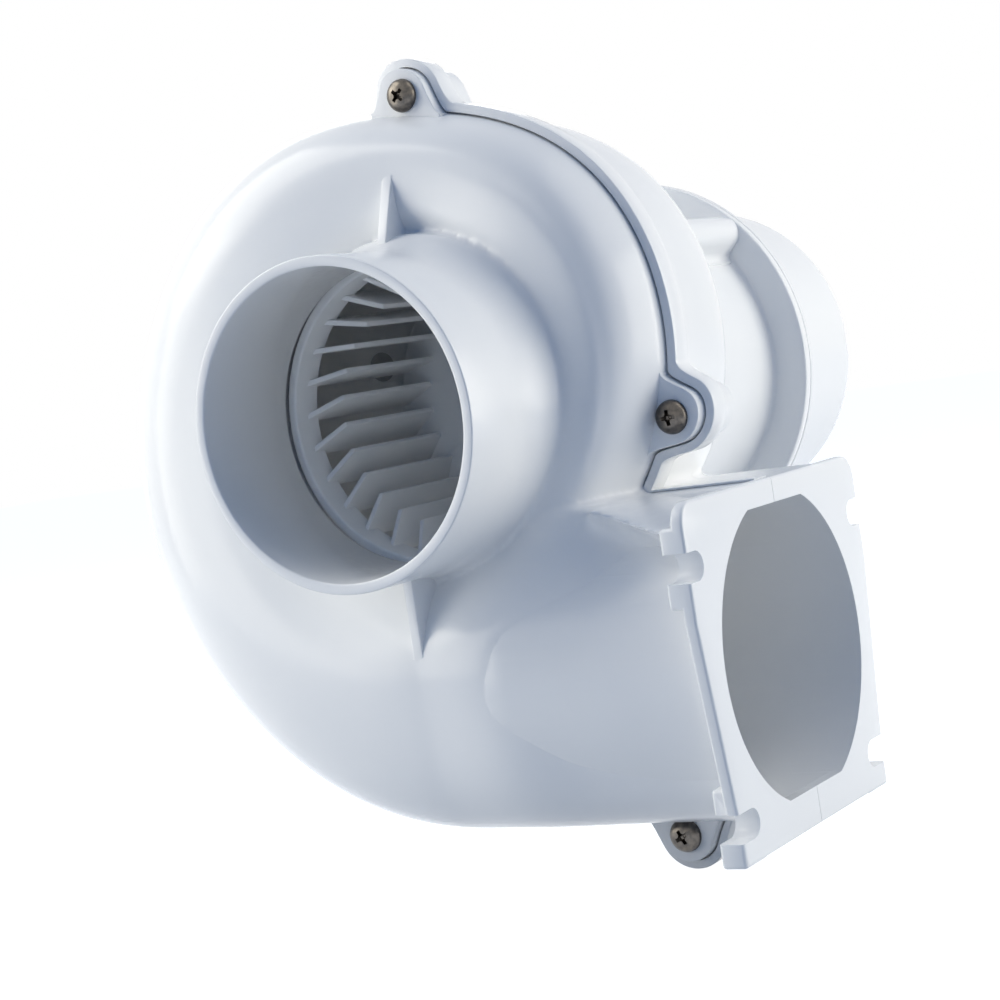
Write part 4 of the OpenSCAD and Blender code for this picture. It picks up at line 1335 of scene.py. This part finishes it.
@dataclass
class PanScrew:
    """Pan-head screw with a cross recess."""

    head_r: float = 4.0
    head_h: float = 2.6
    dome: float = 2.5
    shank_r: float = 2.0
    tip: float = 0.5
    arm_half: float = 2.2
    arm_w: float = 1.0
    recess_depth: float = 1.5
    recess_taper: float = 0.45
    thread_pitch: float = 0.7
    thread_depth: float = 0.25
    head_edge: float = 0.25
    seat_chamfer: float = 0.2
    over: float = 0.5
    arm_taper: float = 0.75
    core_mouth_r: float = 1.05
    core_r: float = 0.95
    core_tip_r: float = 0.4
    core_over: float = 0.2
    dome_steps: int = 20
    turn_steps: int = 48
    core_steps: int = 24

    def solid(self, length: float) -> Solid:
        """The screw along +Y, with its seat at 0.

        Args:
            length: length below the head.

        Returns:
            The screw without its recess.
        """
        power = 2 / self.dome
        turns = [math.radians(90 - 90 * i / self.dome_steps) for i in range(self.dome_steps + 1)]
        profile = [(self.head_r * math.cos(a) ** power, -self.head_h * math.sin(a) ** power) for a in turns]
        profile[0] = (0, -self.head_h)
        profile[-1] = (self.head_r, -self.head_edge)
        profile += [(self.head_r - self.seat_chamfer, 0), (self.shank_r, 0)]
        y = self.shank_r / 2
        while y + self.thread_pitch < length - self.tip:
            profile += [(self.shank_r, y), (self.shank_r - self.thread_depth, y + self.thread_pitch / 2)]
            y += self.thread_pitch
        profile += [(self.shank_r, y), (self.shank_r - self.tip, length), (0, length)]
        return Mesher.lathe(profile, self.turn_steps)

    def arm(self) -> Solid:
        """One tapered arm of the cross, as a cut.

        Returns:
            A closed bmesh in metres.
        """
        bm = bmesh.new()
        bmesh.ops.create_cube(bm, size=1.0)
        for vert in bm.verts:
            deep = vert.co.y > 0
            x = 2 * vert.co.x * self.arm_half * (self.recess_taper if deep else 1.0)
            y = -self.head_h + (self.recess_depth if deep else -self.over)
            z = vert.co.z * self.arm_w * (self.arm_taper if deep else 1.0)
            vert.co = Vector((x, y, z)) * MM
        return bm

    def core(self) -> Solid:
        """Round middle of the cross, as a cut.

        Returns:
            A closed bmesh in metres.
        """
        top, deep, over = -self.head_h, self.recess_depth - self.head_h, self.over
        profile = [(0, top - over), (self.core_mouth_r, top - over), (self.core_r, top)]
        profile += [(self.core_tip_r, deep + self.core_over), (0, deep + over)]
        return Mesher.lathe(profile, self.core_steps)

    def build(self, name: str, length: float, places: Sequence[tuple[Matrix, float]]) -> Piece:
        """Builds a set of screws as one piece.

        Args:
            name: name of the piece.
            length: length below the head.
            places: place of each screw's seat, with the turn of its cross in degrees.

        Returns:
            The set of screws.
        """
        single = Mesher.as_object(self.solid(length), "screw")
        quarter = Matrix.Rotation(math.pi / 2, 4, "Y")
        Mesher.carve(single, Cut.TAKE, self.arm(), Mesher.moved(self.arm(), quarter), self.core())
        copies = []
        for place, cross in places:
            bm = bmesh.new()
            bm.from_mesh(single.data)
            copies.append(Mesher.moved(bm, place @ about_axis(cross)))
        Mesher.drop(single)
        obj = Mesher.as_object(Mesher.joined(copies), name)
        Mesher.shade(obj)
        return obj


@dataclass
class MotorDrum:
    """Housing and cover round the motor, with their screw bosses and the lead's grommet."""

    # drum
    drum_r: float = 42.3
    wall: float = 2.5
    start_y: float = 90.5
    ring_y: float = 142.5
    ring_r: float = 51.5
    cover_y: float = 145.5
    flange_t: float = 1.8
    end_y: float = 198.5
    edge_r: float = 8.0
    rounding: float = 0.5
    root: float = 1.2
    seam: float = 0.06
    seam_edge: float = 0.25
    bore_over: float = 0.02
    overlap: float = 1.0
    # bosses and screws
    boss_r: float = 4.6
    boss_circle: float = 46.7
    boss_angles: tuple[float, ...] = (45.0, 165.0, 285.0)
    boss_fillet: float = 2.0
    insert_r: float = 3.25
    insert_len: float = 8.0
    pilot_r: float = 2.05
    pilot_len: float = 14.0
    hole_r: float = 2.1
    hole_run: float = 2.0
    head_seat_r: float = 4.2
    head_seat_h: float = 3.0
    motor_screw_x: float = 22.0
    first_cross: float = 20.0
    cross_step: float = 35.0
    # grommet
    grommet_r: float = 5.0
    grommet_bore: float = 2.5
    grommet_z: float = -24.0
    grommet_lip: float = 2.0
    grommet_gap: float = 0.05
    grommet_rounding: tuple[float, ...] = (0.5, 0.7, 1.2, 0.6)
    # numbers of steps
    turn_steps: int = 192
    hole_steps: int = 32
    grommet_steps: int = 64
    lead_hole_steps: int = 48

    def boss_places(self, y: float = 0.0) -> list[Vector]:
        """Centres of the screw bosses at a place along the fan's axis."""
        return [polar(a, self.boss_circle, y) for a in self.boss_angles]

    def wall_screws(self) -> list[Vector]:
        """Centres of the screws through the scroll's back wall, into the housing and into the motor."""
        return self.boss_places() + [Vector((side * self.motor_screw_x, 0, 0)) for side in (1, -1)]

    def boss(self, angle: float) -> Solid:
        """One boss along the drum, with flanks that flare into it.

        Args:
            angle: place round the fan's axis.

        Returns:
            A closed bmesh in metres.
        """
        base, r, f = self.drum_r - self.wall / 2, self.boss_r, self.boss_fillet
        top = arc(self.boss_circle, 0, r, -90, 90, 24)
        low = arc(self.drum_r + f, r + f, f, -90, -180, 6)
        outline = top + low + [(base, r + f), (base, -r - f)] + [(u, -w) for u, w in reversed(low)]
        corners = [Vector((u, self.start_y, w)) for u, w in outline]
        bm = Mesher.prism(corners, Vector((0, self.ring_y + self.overlap - self.start_y, 0)))
        return Mesher.moved(bm, about_axis(angle))

    def bars(self, r: float, y0: float, y1: float) -> Solid:
        """Round bars on the bosses' axes."""
        ends = zip(self.boss_places(y0), self.boss_places(y1))
        return Mesher.joined([Mesher.bar(a, b, r, self.hole_steps) for a, b in ends])

    def housing(self) -> Piece:
        """Builds the drum between the scroll and the ring.

        Returns:
            The housing.
        """
        r, f, c, inner = self.rounding, self.root, self.seam_edge, self.drum_r - self.wall
        end, over = self.cover_y - self.seam, self.overlap
        profile = [(inner, self.start_y), (self.drum_r, self.start_y)]
        profile += arc(self.drum_r + f, self.ring_y - f, f, 180, 90, 5)
        profile += arc(self.ring_r - r, self.ring_y + r, r, -90, 0, 4)
        profile += arc(self.ring_r - c, end - c, c, 0, 90, 2)
        profile += [(inner, end), profile[0]]
        obj = Mesher.as_object(Mesher.lathe(profile, self.turn_steps), "motor_drum")
        Mesher.carve(obj, Cut.ADD, *[self.boss(a) for a in self.boss_angles])
        start = self.start_y - over
        room = Mesher.axis_bar(start, end + over, inner + self.bore_over, self.turn_steps)
        Mesher.carve(obj, Cut.TAKE, room, self.bars(self.pilot_r, start, self.start_y + self.pilot_len),
                     self.bars(self.insert_r, self.cover_y - self.insert_len, self.cover_y + over))
        Mesher.shade(obj)
        return obj

    def cover(self) -> Piece:
        """Builds the drum that closes the motor.

        Returns:
            The cover.
        """
        r, f, c, e, w, over = self.rounding, self.root, self.seam_edge, self.edge_r, self.wall, self.overlap
        start, back, corner = self.cover_y + self.seam, self.cover_y + self.flange_t, self.drum_r - e
        profile = [(self.drum_r - w, start)] + arc(self.ring_r - c, start + c, c, -90, 0, 2)
        profile += arc(self.ring_r - r, back - r, r, 0, 90, 4)
        profile += arc(self.drum_r + f, back + f, f, -90, -180, 5)
        profile += arc(corner, self.end_y - e, e, 0, 90, 12) + [(0, self.end_y), (0, self.end_y - w)]
        profile += arc(corner, self.end_y - e, e - w, 90, 0, 12) + [profile[0]]
        obj = Mesher.as_object(Mesher.lathe(profile, self.turn_steps), "motor_cap")
        lead = [Vector((0, y, self.grommet_z)) for y in (self.end_y - w - over, self.end_y + over)]
        Mesher.carve(obj, Cut.TAKE, self.bars(self.hole_r, self.cover_y - over, back + self.hole_run),
                     self.bars(self.head_seat_r, back, back + self.head_seat_h),
                     Mesher.bar(*lead, self.grommet_r + self.grommet_gap, self.lead_hole_steps))
        Mesher.shade(obj)
        return obj

    def grommet(self) -> Piece:
        """Builds the grommet where the leads enter.

        Returns:
            The grommet.
        """
        inner, out, lip = self.end_y - self.wall, self.end_y, self.grommet_r + self.grommet_lip
        t, b, r, gap = self.grommet_lip, self.grommet_bore, self.grommet_r, self.grommet_gap
        inner_bore, inner_rim, outer_rim, outer_bore = self.grommet_rounding
        profile = arc(b + inner_bore, inner - t + inner_bore, inner_bore, 180, 270, 3)
        profile += arc(lip - inner_rim, inner - t + inner_rim, inner_rim, -90, 0, 4)
        profile += [(lip, inner - gap), (r, inner - gap), (r, out + gap), (lip, out + gap)]
        profile += arc(lip - outer_rim, out + t - outer_rim, outer_rim, 0, 90, 5)
        profile += arc(b + outer_bore, out + t - outer_bore, outer_bore, 90, 180, 4) + [profile[0]]
        place = Matrix.Translation((0, 0, self.grommet_z * MM))
        bm = Mesher.moved(Mesher.lathe(profile, self.grommet_steps), place)
        obj = Mesher.as_object(bm, "lead_grommet")
        Mesher.shade(obj)
        return obj

    def cover_screws(self, screw: PanScrew) -> Piece:
        """Builds the screws that hold the cover on the ring.

        Args:
            screw: the kind of screw.

        Returns:
            The set of screws.
        """
        back = self.cover_y + self.flange_t
        turned = Matrix.Rotation(math.pi, 4, "X")
        places = []
        for i, place in enumerate(self.boss_places(back)):
            places.append((Matrix.Translation(place * MM) @ turned, self.first_cross + self.cross_step * i))
        return screw.build("flange_screws", self.flange_t + self.insert_len, places)


class Grain(Enum):
    """Ways that a surface was made, with the turn in degrees that lays its marks."""

    MOULDED = (0, 0, 0)
    TURNED = (0, 0, 90)
    WOUND = (0, 20, 35)


class NodeBench:
    """Short ways to add and link the nodes of one tree."""

    def __init__(self, tree: Tree) -> None:
        """Takes the tree that the nodes go into."""
        self.tree = tree

    def add(self, kind: str, values: dict[str | int, object] | None = None, **settings: object) -> Node:
        """Adds a node.

        Args:
            kind: the node's type, without the word that all shader nodes start with.
            values: constants of its inputs.
            settings: its options.

        Returns:
            The new node.
        """
        node = self.tree.nodes.new(f"ShaderNode{kind}")
        for name, value in settings.items():
            setattr(node, name, value)
        for socket, value in (values or {}).items():
            node.inputs[socket].default_value = value
        return node

    def link(self, *pairs: tuple[Socket, Socket]) -> None:
        """Links each pair of an output and an input."""
        for start, end in pairs:
            self.tree.links.new(start, end)


class SurfaceMarks:
    """Shader groups that the finishes share."""

    SOCKETS = (("Vector", "Vector", "INPUT"), ("Scale", "Float", "INPUT"), ("Colour", "Color", "INPUT"),
               ("Tint", "Color", "INPUT"), ("Polished", "Float", "INPUT"), ("Dull", "Float", "INPUT"),
               ("Colour", "Color", "OUTPUT"), ("Roughness", "Float", "OUTPUT"), ("Height", "Float", "OUTPUT"))

    def __init__(self) -> None:
        """Builds the groups once."""
        self.patches = self.patch_group()
        self.lines = self.line_group()

    def start_group(self, name: str) -> tuple[NodeBench, Node, Node]:
        """Starts a group with the sockets that both groups have.

        Args:
            name: name of the group.

        Returns:
            The group's bench, its input node and its output node.
        """
        tree = bpy.data.node_groups.new(name, "ShaderNodeTree")
        for label, kind, way in self.SOCKETS:
            tree.interface.new_socket(name=label, in_out=way, socket_type=f"NodeSocket{kind}")
        return NodeBench(tree), tree.nodes.new("NodeGroupInput"), tree.nodes.new("NodeGroupOutput")

    @staticmethod
    def blend_out(bench: NodeBench, start: Node, end: Node, mask: Socket, gloss: Socket) -> None:
        """Mixes the two colours by one mask and the two degrees of polish by another.

        Args:
            bench: the group's bench.
            start: the group's input node.
            end: the group's output node.
            mask: mask of the colours.
            gloss: mask of the polish.
        """
        colour, rough = bench.add("Mix", data_type="RGBA"), bench.add("Mix")
        bench.link((mask, colour.inputs[0]), (start.outputs["Colour"], colour.inputs[6]),
                   (start.outputs["Tint"], colour.inputs[7]), (colour.outputs[2], end.inputs["Colour"]),
                   (gloss, rough.inputs[0]), (start.outputs["Polished"], rough.inputs[2]),
                   (start.outputs["Dull"], rough.inputs[3]), (rough.outputs[0], end.inputs["Roughness"]))

    @staticmethod
    def noise(bench: NodeBench, start: Node, times: float, detail: float) -> Socket:
        """Noise on the group's coordinates at a multiple of its scale.

        Args:
            bench: the group's bench.
            start: the group's input node.
            times: the multiple.
            detail: number of finer layers.

        Returns:
            The noise's value.
        """
        scale = bench.add("Math", {1: times}, operation="MULTIPLY")
        node = bench.add("TexNoise", {"Detail": detail})
        bench.link((start.outputs["Scale"], scale.inputs[0]), (scale.outputs[0], node.inputs["Scale"]),
                   (start.outputs["Vector"], node.inputs["Vector"]))
        return node.outputs["Fac"]

    def patch_group(self) -> Tree:
        """Group of soft patches and fine grain, as on moulded surfaces.

        Returns:
            The shader group.
        """
        bench, start, end = self.start_group("soft_patches")
        broad = self.noise(bench, start, times=1.0, detail=3.0)
        fine = self.noise(bench, start, times=14.0, detail=5.0)
        ramp = bench.add("MapRange", {"From Min": 0.35, "From Max": 0.7})
        bench.link((broad, ramp.inputs["Value"]), (fine, end.inputs["Height"]))
        self.blend_out(bench, start, end, ramp.outputs["Result"], fine)
        return bench.tree

    def line_group(self) -> Tree:
        """Group of fine lines across the first axis, as on turned, stacked or wound surfaces.

        Returns:
            The shader group.
        """
        bench, start, end = self.start_group("fine_lines")
        waviness = {"Distortion": 0.6, "Detail": 2.0, "Detail Scale": 2.0}
        wave = bench.add("TexWave", waviness, wave_type="BANDS", bands_direction="X")
        broad = self.noise(bench, start, times=0.08, detail=3.0)
        both = bench.add("Math", operation="MULTIPLY")
        bench.link((start.outputs["Vector"], wave.inputs["Vector"]),
                   (start.outputs["Scale"], wave.inputs["Scale"]),
                   (wave.outputs["Fac"], both.inputs[0]), (broad, both.inputs[1]),
                   (wave.outputs["Fac"], end.inputs["Height"]))
        self.blend_out(bench, start, end, both.outputs[0], broad)
        return bench.tree


@dataclass(frozen=True)
class Finish:
    """Finish of one material: its colours, polish and the marks of how it was made."""

    name: str
    colour: Colour
    tint: Colour
    polished: float
    dull: float
    scale: float
    relief: float
    metallic: float = 0.0
    gloss: float = 0.5
    grain: Grain = Grain.MOULDED
    bump_strength: float = 0.5

    def material(self, marks: SurfaceMarks) -> Material:
        """Builds the material.

        Args:
            marks: the shared shader groups.

        Returns:
            The material.
        """
        made = bpy.data.materials.new(self.name)
        made.use_nodes = True
        bench = NodeBench(made.node_tree)
        shader = bench.tree.nodes["Principled BSDF"]
        shader.inputs["Metallic"].default_value = self.metallic
        shader.inputs["Specular IOR Level"].default_value = self.gloss
        place = bench.add("TexCoord")
        turn = bench.add("Mapping", {"Rotation": [math.radians(a) for a in self.grain.value]})
        values = {"Scale": self.scale, "Colour": (*self.colour, 1), "Tint": (*self.tint, 1),
                  "Polished": self.polished, "Dull": self.dull}
        tree = marks.patches if self.grain is Grain.MOULDED else marks.lines
        group = bench.add("Group", values, node_tree=tree)
        bump = bench.add("Bump", {"Strength": self.bump_strength, "Distance": self.relief * MM})
        bench.link((place.outputs["Object"], turn.inputs["Vector"]),
                   (turn.outputs["Vector"], group.inputs["Vector"]),
                   (group.outputs["Colour"], shader.inputs["Base Color"]),
                   (group.outputs["Roughness"], shader.inputs["Roughness"]),
                   (group.outputs["Height"], bump.inputs["Height"]),
                   (bump.outputs["Normal"], shader.inputs["Normal"]))
        return made


@dataclass(frozen=True)
class Finishes:
    """All finishes of the blower."""

    casing: Finish = Finish("white_gloss_plastic", (0.90, 0.905, 0.905), (0.885, 0.892, 0.895), 0.15, 0.25,
                            40.0, 0.006, gloss=0.3)
    fan: Finish = Finish("pale_grey_plastic", (0.92, 0.925, 0.925), (0.90, 0.91, 0.912), 0.34, 0.46,
                         60.0, 0.01, gloss=0.3)
    nickel: Finish = Finish("dark_nickel", (0.085, 0.08, 0.076), (0.15, 0.135, 0.12), 0.22, 0.38,
                            900.0, 0.01, metallic=1.0)
    steel: Finish = Finish("zinc_plated_steel", (0.50, 0.51, 0.53), (0.42, 0.43, 0.45), 0.28, 0.42,
                           800.0, 0.01, metallic=1.0, grain=Grain.TURNED)
    brass: Finish = Finish("turned_brass", (0.66, 0.50, 0.24), (0.58, 0.43, 0.20), 0.22, 0.36,
                           900.0, 0.01, metallic=1.0, grain=Grain.TURNED)
    copper: Finish = Finish("enamelled_copper", (0.58, 0.27, 0.12), (0.44, 0.18, 0.08), 0.25, 0.4,
                            450.0, 0.15, metallic=0.8, grain=Grain.WOUND)
    laminations: Finish = Finish("stacked_sheet_steel", (0.24, 0.24, 0.25), (0.13, 0.13, 0.14), 0.4, 0.6,
                                 600.0, 0.08, metallic=0.8, grain=Grain.TURNED)
    ferrite: Finish = Finish("sintered_ferrite", (0.045, 0.045, 0.048), (0.07, 0.068, 0.066), 0.6, 0.8,
                             120.0, 0.06)
    carbon: Finish = Finish("pressed_carbon", (0.03, 0.03, 0.032), (0.06, 0.058, 0.055), 0.5, 0.7,
                            200.0, 0.05)
    phenolic: Finish = Finish("brown_phenolic", (0.17, 0.085, 0.045), (0.12, 0.06, 0.03), 0.35, 0.55,
                              150.0, 0.02)
    rubber: Finish = Finish("black_rubber", (0.022, 0.022, 0.024), (0.035, 0.035, 0.036), 0.55, 0.75,
                            140.0, 0.03)


@dataclass
class MotorInside:
    """Pieces inside the casing that keep the frame's own meshes."""

    nodes: dict[str, tuple[str, ...]] = field(default_factory=lambda: {
        "steel": ("housing_screws", "motor_can", "motor_front_plate", "motor_rear_plate", "motor_screws",
                  "motor_tie_bolts", "brush_springs", "motor_shaft", "hub_washer", "hub_nut"),
        "brass": ("casing_inserts", "cover_inserts", "front_bearing", "rear_bearing", "brush_holders",
                  "hub_insert", "thrust_washers"),
        "copper": ("armature_windings", "commutator"),
        "laminations": ("armature_core",),
        "ferrite": ("field_magnets",),
        "carbon": ("carbon_brushes",),
        "phenolic": ("brush_plate",),
    })

    def dress(self, objects: dict[str, Piece], materials: dict[str, Material]) -> None:
        """Gives every kept mesh its finish.

        Args:
            objects: the frame's objects by the name of their node.
            materials: materials by the name of their finish.
        """
        for finish, names in self.nodes.items():
            for name in names:
                mesh = objects[name].data
                mesh.materials.clear()
                mesh.materials.append(materials[finish])
                LOG.info("dressed %s in %s", name, finish)


@dataclass(frozen=True)
class SoftBox:
    """Large soft lamp aimed at the blower."""

    name: str
    way: Vector
    power: float
    size: float = 560.0
    distance: float = 800.0
    colour: Colour = (1.0, 0.955, 0.84)
    aim: Vector = Vector((-10, 60, -20))

    def build(self) -> None:
        """Adds the lamp."""
        data = bpy.data.lights.new(self.name, "AREA")
        data.shape = "SQUARE"
        data.size = self.size * MM
        data.energy = self.power
        data.color = self.colour
        lamp = bpy.data.objects.new(self.name, data)
        place = self.aim + self.way.normalized() * self.distance
        turn = (-self.way).to_track_quat("-Z", "Y")
        lamp.matrix_world = Matrix.Translation(place * MM) @ turn.to_matrix().to_4x4()
        bpy.context.scene.collection.objects.link(lamp)


@dataclass
class Studio:
    """Pale floor, white background and soft lamps."""

    floor_z: float
    floor_half: float = 3000.0
    ambient: Colour = (0.05, 0.36, 1.0)
    ambient_strength: float = 0.25
    floor_colour: Colour = (0.5, 0.54, 0.6)
    floor_glow: float = 0.97
    lamps: tuple[SoftBox, ...] = (
        SoftBox("left_lamp", Vector((-0.8, -0.6, 0.2)), 3.1),
        SoftBox("right_lamp", Vector((0.88, 0.45, 0.15)), 4.8),
        SoftBox("top_left_lamp", Vector((-0.65, -0.35, 0.68)), 4.2),
        SoftBox("top_right_lamp", Vector((0.6, 0.2, 0.77)), 1.4),
        SoftBox("back_left_lamp", Vector((-0.7, 0.7, 0.3)), 1.9),
    )

    @staticmethod
    def seen(bench: NodeBench) -> Socket:
        """Value that is 1 for camera, glossy and transmission rays, and 0 for light.

        Args:
            bench: bench of the material's or the world's nodes.

        Returns:
            The value.
        """
        path = bench.add("LightPath").outputs
        first, second = bench.add("Math", operation="MAXIMUM"), bench.add("Math", operation="MAXIMUM")
        bench.link((path["Is Camera Ray"], first.inputs[0]), (path["Is Glossy Ray"], first.inputs[1]),
                   (first.outputs[0], second.inputs[0]), (path["Is Transmission Ray"], second.inputs[1]))
        return second.outputs[0]

    def world(self) -> None:
        """Sets the background: white to look at, faint blue as light."""
        world = bpy.data.worlds.new("studio")
        bpy.context.scene.world = world
        world.use_nodes = True
        world.node_tree.nodes.clear()
        bench = NodeBench(world.node_tree)
        light = bench.add("Background", {"Color": (*self.ambient, 1), "Strength": self.ambient_strength})
        white = bench.add("Background", {"Color": (1, 1, 1, 1)})
        both, out = bench.add("MixShader"), bench.add("OutputWorld")
        bench.link((self.seen(bench), both.inputs[0]), (light.outputs[0], both.inputs[1]),
                   (white.outputs[0], both.inputs[2]), (both.outputs[0], out.inputs["Surface"]))

    def floor(self) -> Piece:
        """Builds the pale floor, which fades to the white background and keeps the shadow.

        Returns:
            The floor.
        """
        bm = bmesh.new()
        bmesh.ops.create_grid(bm, x_segments=1, y_segments=1, size=self.floor_half * MM)
        bmesh.ops.translate(bm, vec=(0, 0, self.floor_z), verts=bm.verts[:])
        obj = Mesher.as_object(bm, "floor")
        made = bpy.data.materials.new("pale_floor")
        made.use_nodes = True
        made.node_tree.nodes.clear()
        bench = NodeBench(made.node_tree)
        matt = bench.add("BsdfDiffuse", {"Color": (*self.floor_colour, 1)})
        glow = bench.add("Math", {1: self.floor_glow}, operation="MULTIPLY")
        lit, both, out = bench.add("Emission"), bench.add("AddShader"), bench.add("OutputMaterial")
        bench.link((self.seen(bench), glow.inputs[0]), (glow.outputs[0], lit.inputs["Strength"]),
                   (matt.outputs[0], both.inputs[0]), (lit.outputs[0], both.inputs[1]),
                   (both.outputs[0], out.inputs["Surface"]))
        obj.data.materials.append(made)
        return obj

    def build(self) -> None:
        """Adds the floor, the background and the lamps."""
        bpy.context.scene.view_settings.view_transform = "Standard"
        self.floor()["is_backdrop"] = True
        self.world()
        for lamp in self.lamps:
            lamp.build()


@dataclass
class View:
    """Camera of the scene, at the photograph's place."""

    place: Vector = field(default_factory=lambda: Vector((299.2, -399.5, 6.7)))
    right: Vector = field(default_factory=lambda: Vector((0.8354, 0.5276, -0.1542)))
    down: Vector = field(default_factory=lambda: Vector((-0.0990, -0.1315, -0.9864)))
    lens: float = 80.58
    sensor: float = 36.0
    clip: tuple[float, float] = (0.01, 100.0)

    def build(self) -> None:
        """Adds the camera."""
        data = bpy.data.cameras.new("camera")
        data.lens = self.lens
        data.sensor_width = self.sensor
        data.clip_start, data.clip_end = self.clip
        cam = bpy.data.objects.new("camera", data)
        right = self.right.normalized()
        back = right.cross(-self.down).normalized()
        turn = Matrix((right, back.cross(right), back)).transposed().to_4x4()
        cam.matrix_world = Matrix.Translation(self.place * MM) @ turn
        bpy.context.scene.collection.objects.link(cam)
        bpy.context.scene.camera = cam


def add_piece(obj: Piece, body: Body, material: Material, node: str) -> None:
    """Dresses a new piece and puts it in the place of its node.

    Args:
        obj: the new piece.
        body: body that it moves with.
        material: its finish.
        node: node that it stands for.
    """
    obj.data.materials.clear()
    obj.data.materials.append(material)
    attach(obj, body.value)
    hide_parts(node)
    LOG.info("%s stands for %s with %d faces", obj.name, node, len(obj.data.polygons))


def main() -> None:
    """Builds the blower, its studio and its camera."""
    logging.basicConfig(level=logging.INFO)
    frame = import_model()
    cad_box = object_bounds()
    View().build()
    marks = SurfaceMarks()
    finishes = Finishes()
    coats = {name: getattr(finishes, name).material(marks) for name in finishes.__dataclass_fields__}
    casing, fan, drum, screw = ScrollCasing(), FanWheel(), MotorDrum(), PanScrew()
    add_piece(casing.front(), Body.CASING, coats["casing"], "front_casing")
    add_piece(casing.rear(drum.wall_screws()), Body.CASING, coats["casing"], "rear_casing")
    pan_screws = screw.build("pan_screws", casing.screw_len, casing.screw_seats())
    add_piece(pan_screws, Body.CASING, coats["nickel"], "casing_screws")
    add_piece(fan.build(), Body.ROTOR, coats["fan"], "impeller")
    add_piece(drum.housing(), Body.CASING, coats["casing"], "motor_housing")
    add_piece(drum.cover(), Body.CASING, coats["casing"], "motor_cover")
    add_piece(drum.cover_screws(screw), Body.CASING, coats["nickel"], "cover_screws")
    add_piece(drum.grommet(), Body.CASING, coats["rubber"], "cable_grommet")
    MotorInside().dress(frame["nodes"], coats)
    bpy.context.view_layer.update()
    Studio(floor_z=cad_box[0][2]).build()


if __name__ == "__main__":
    main()
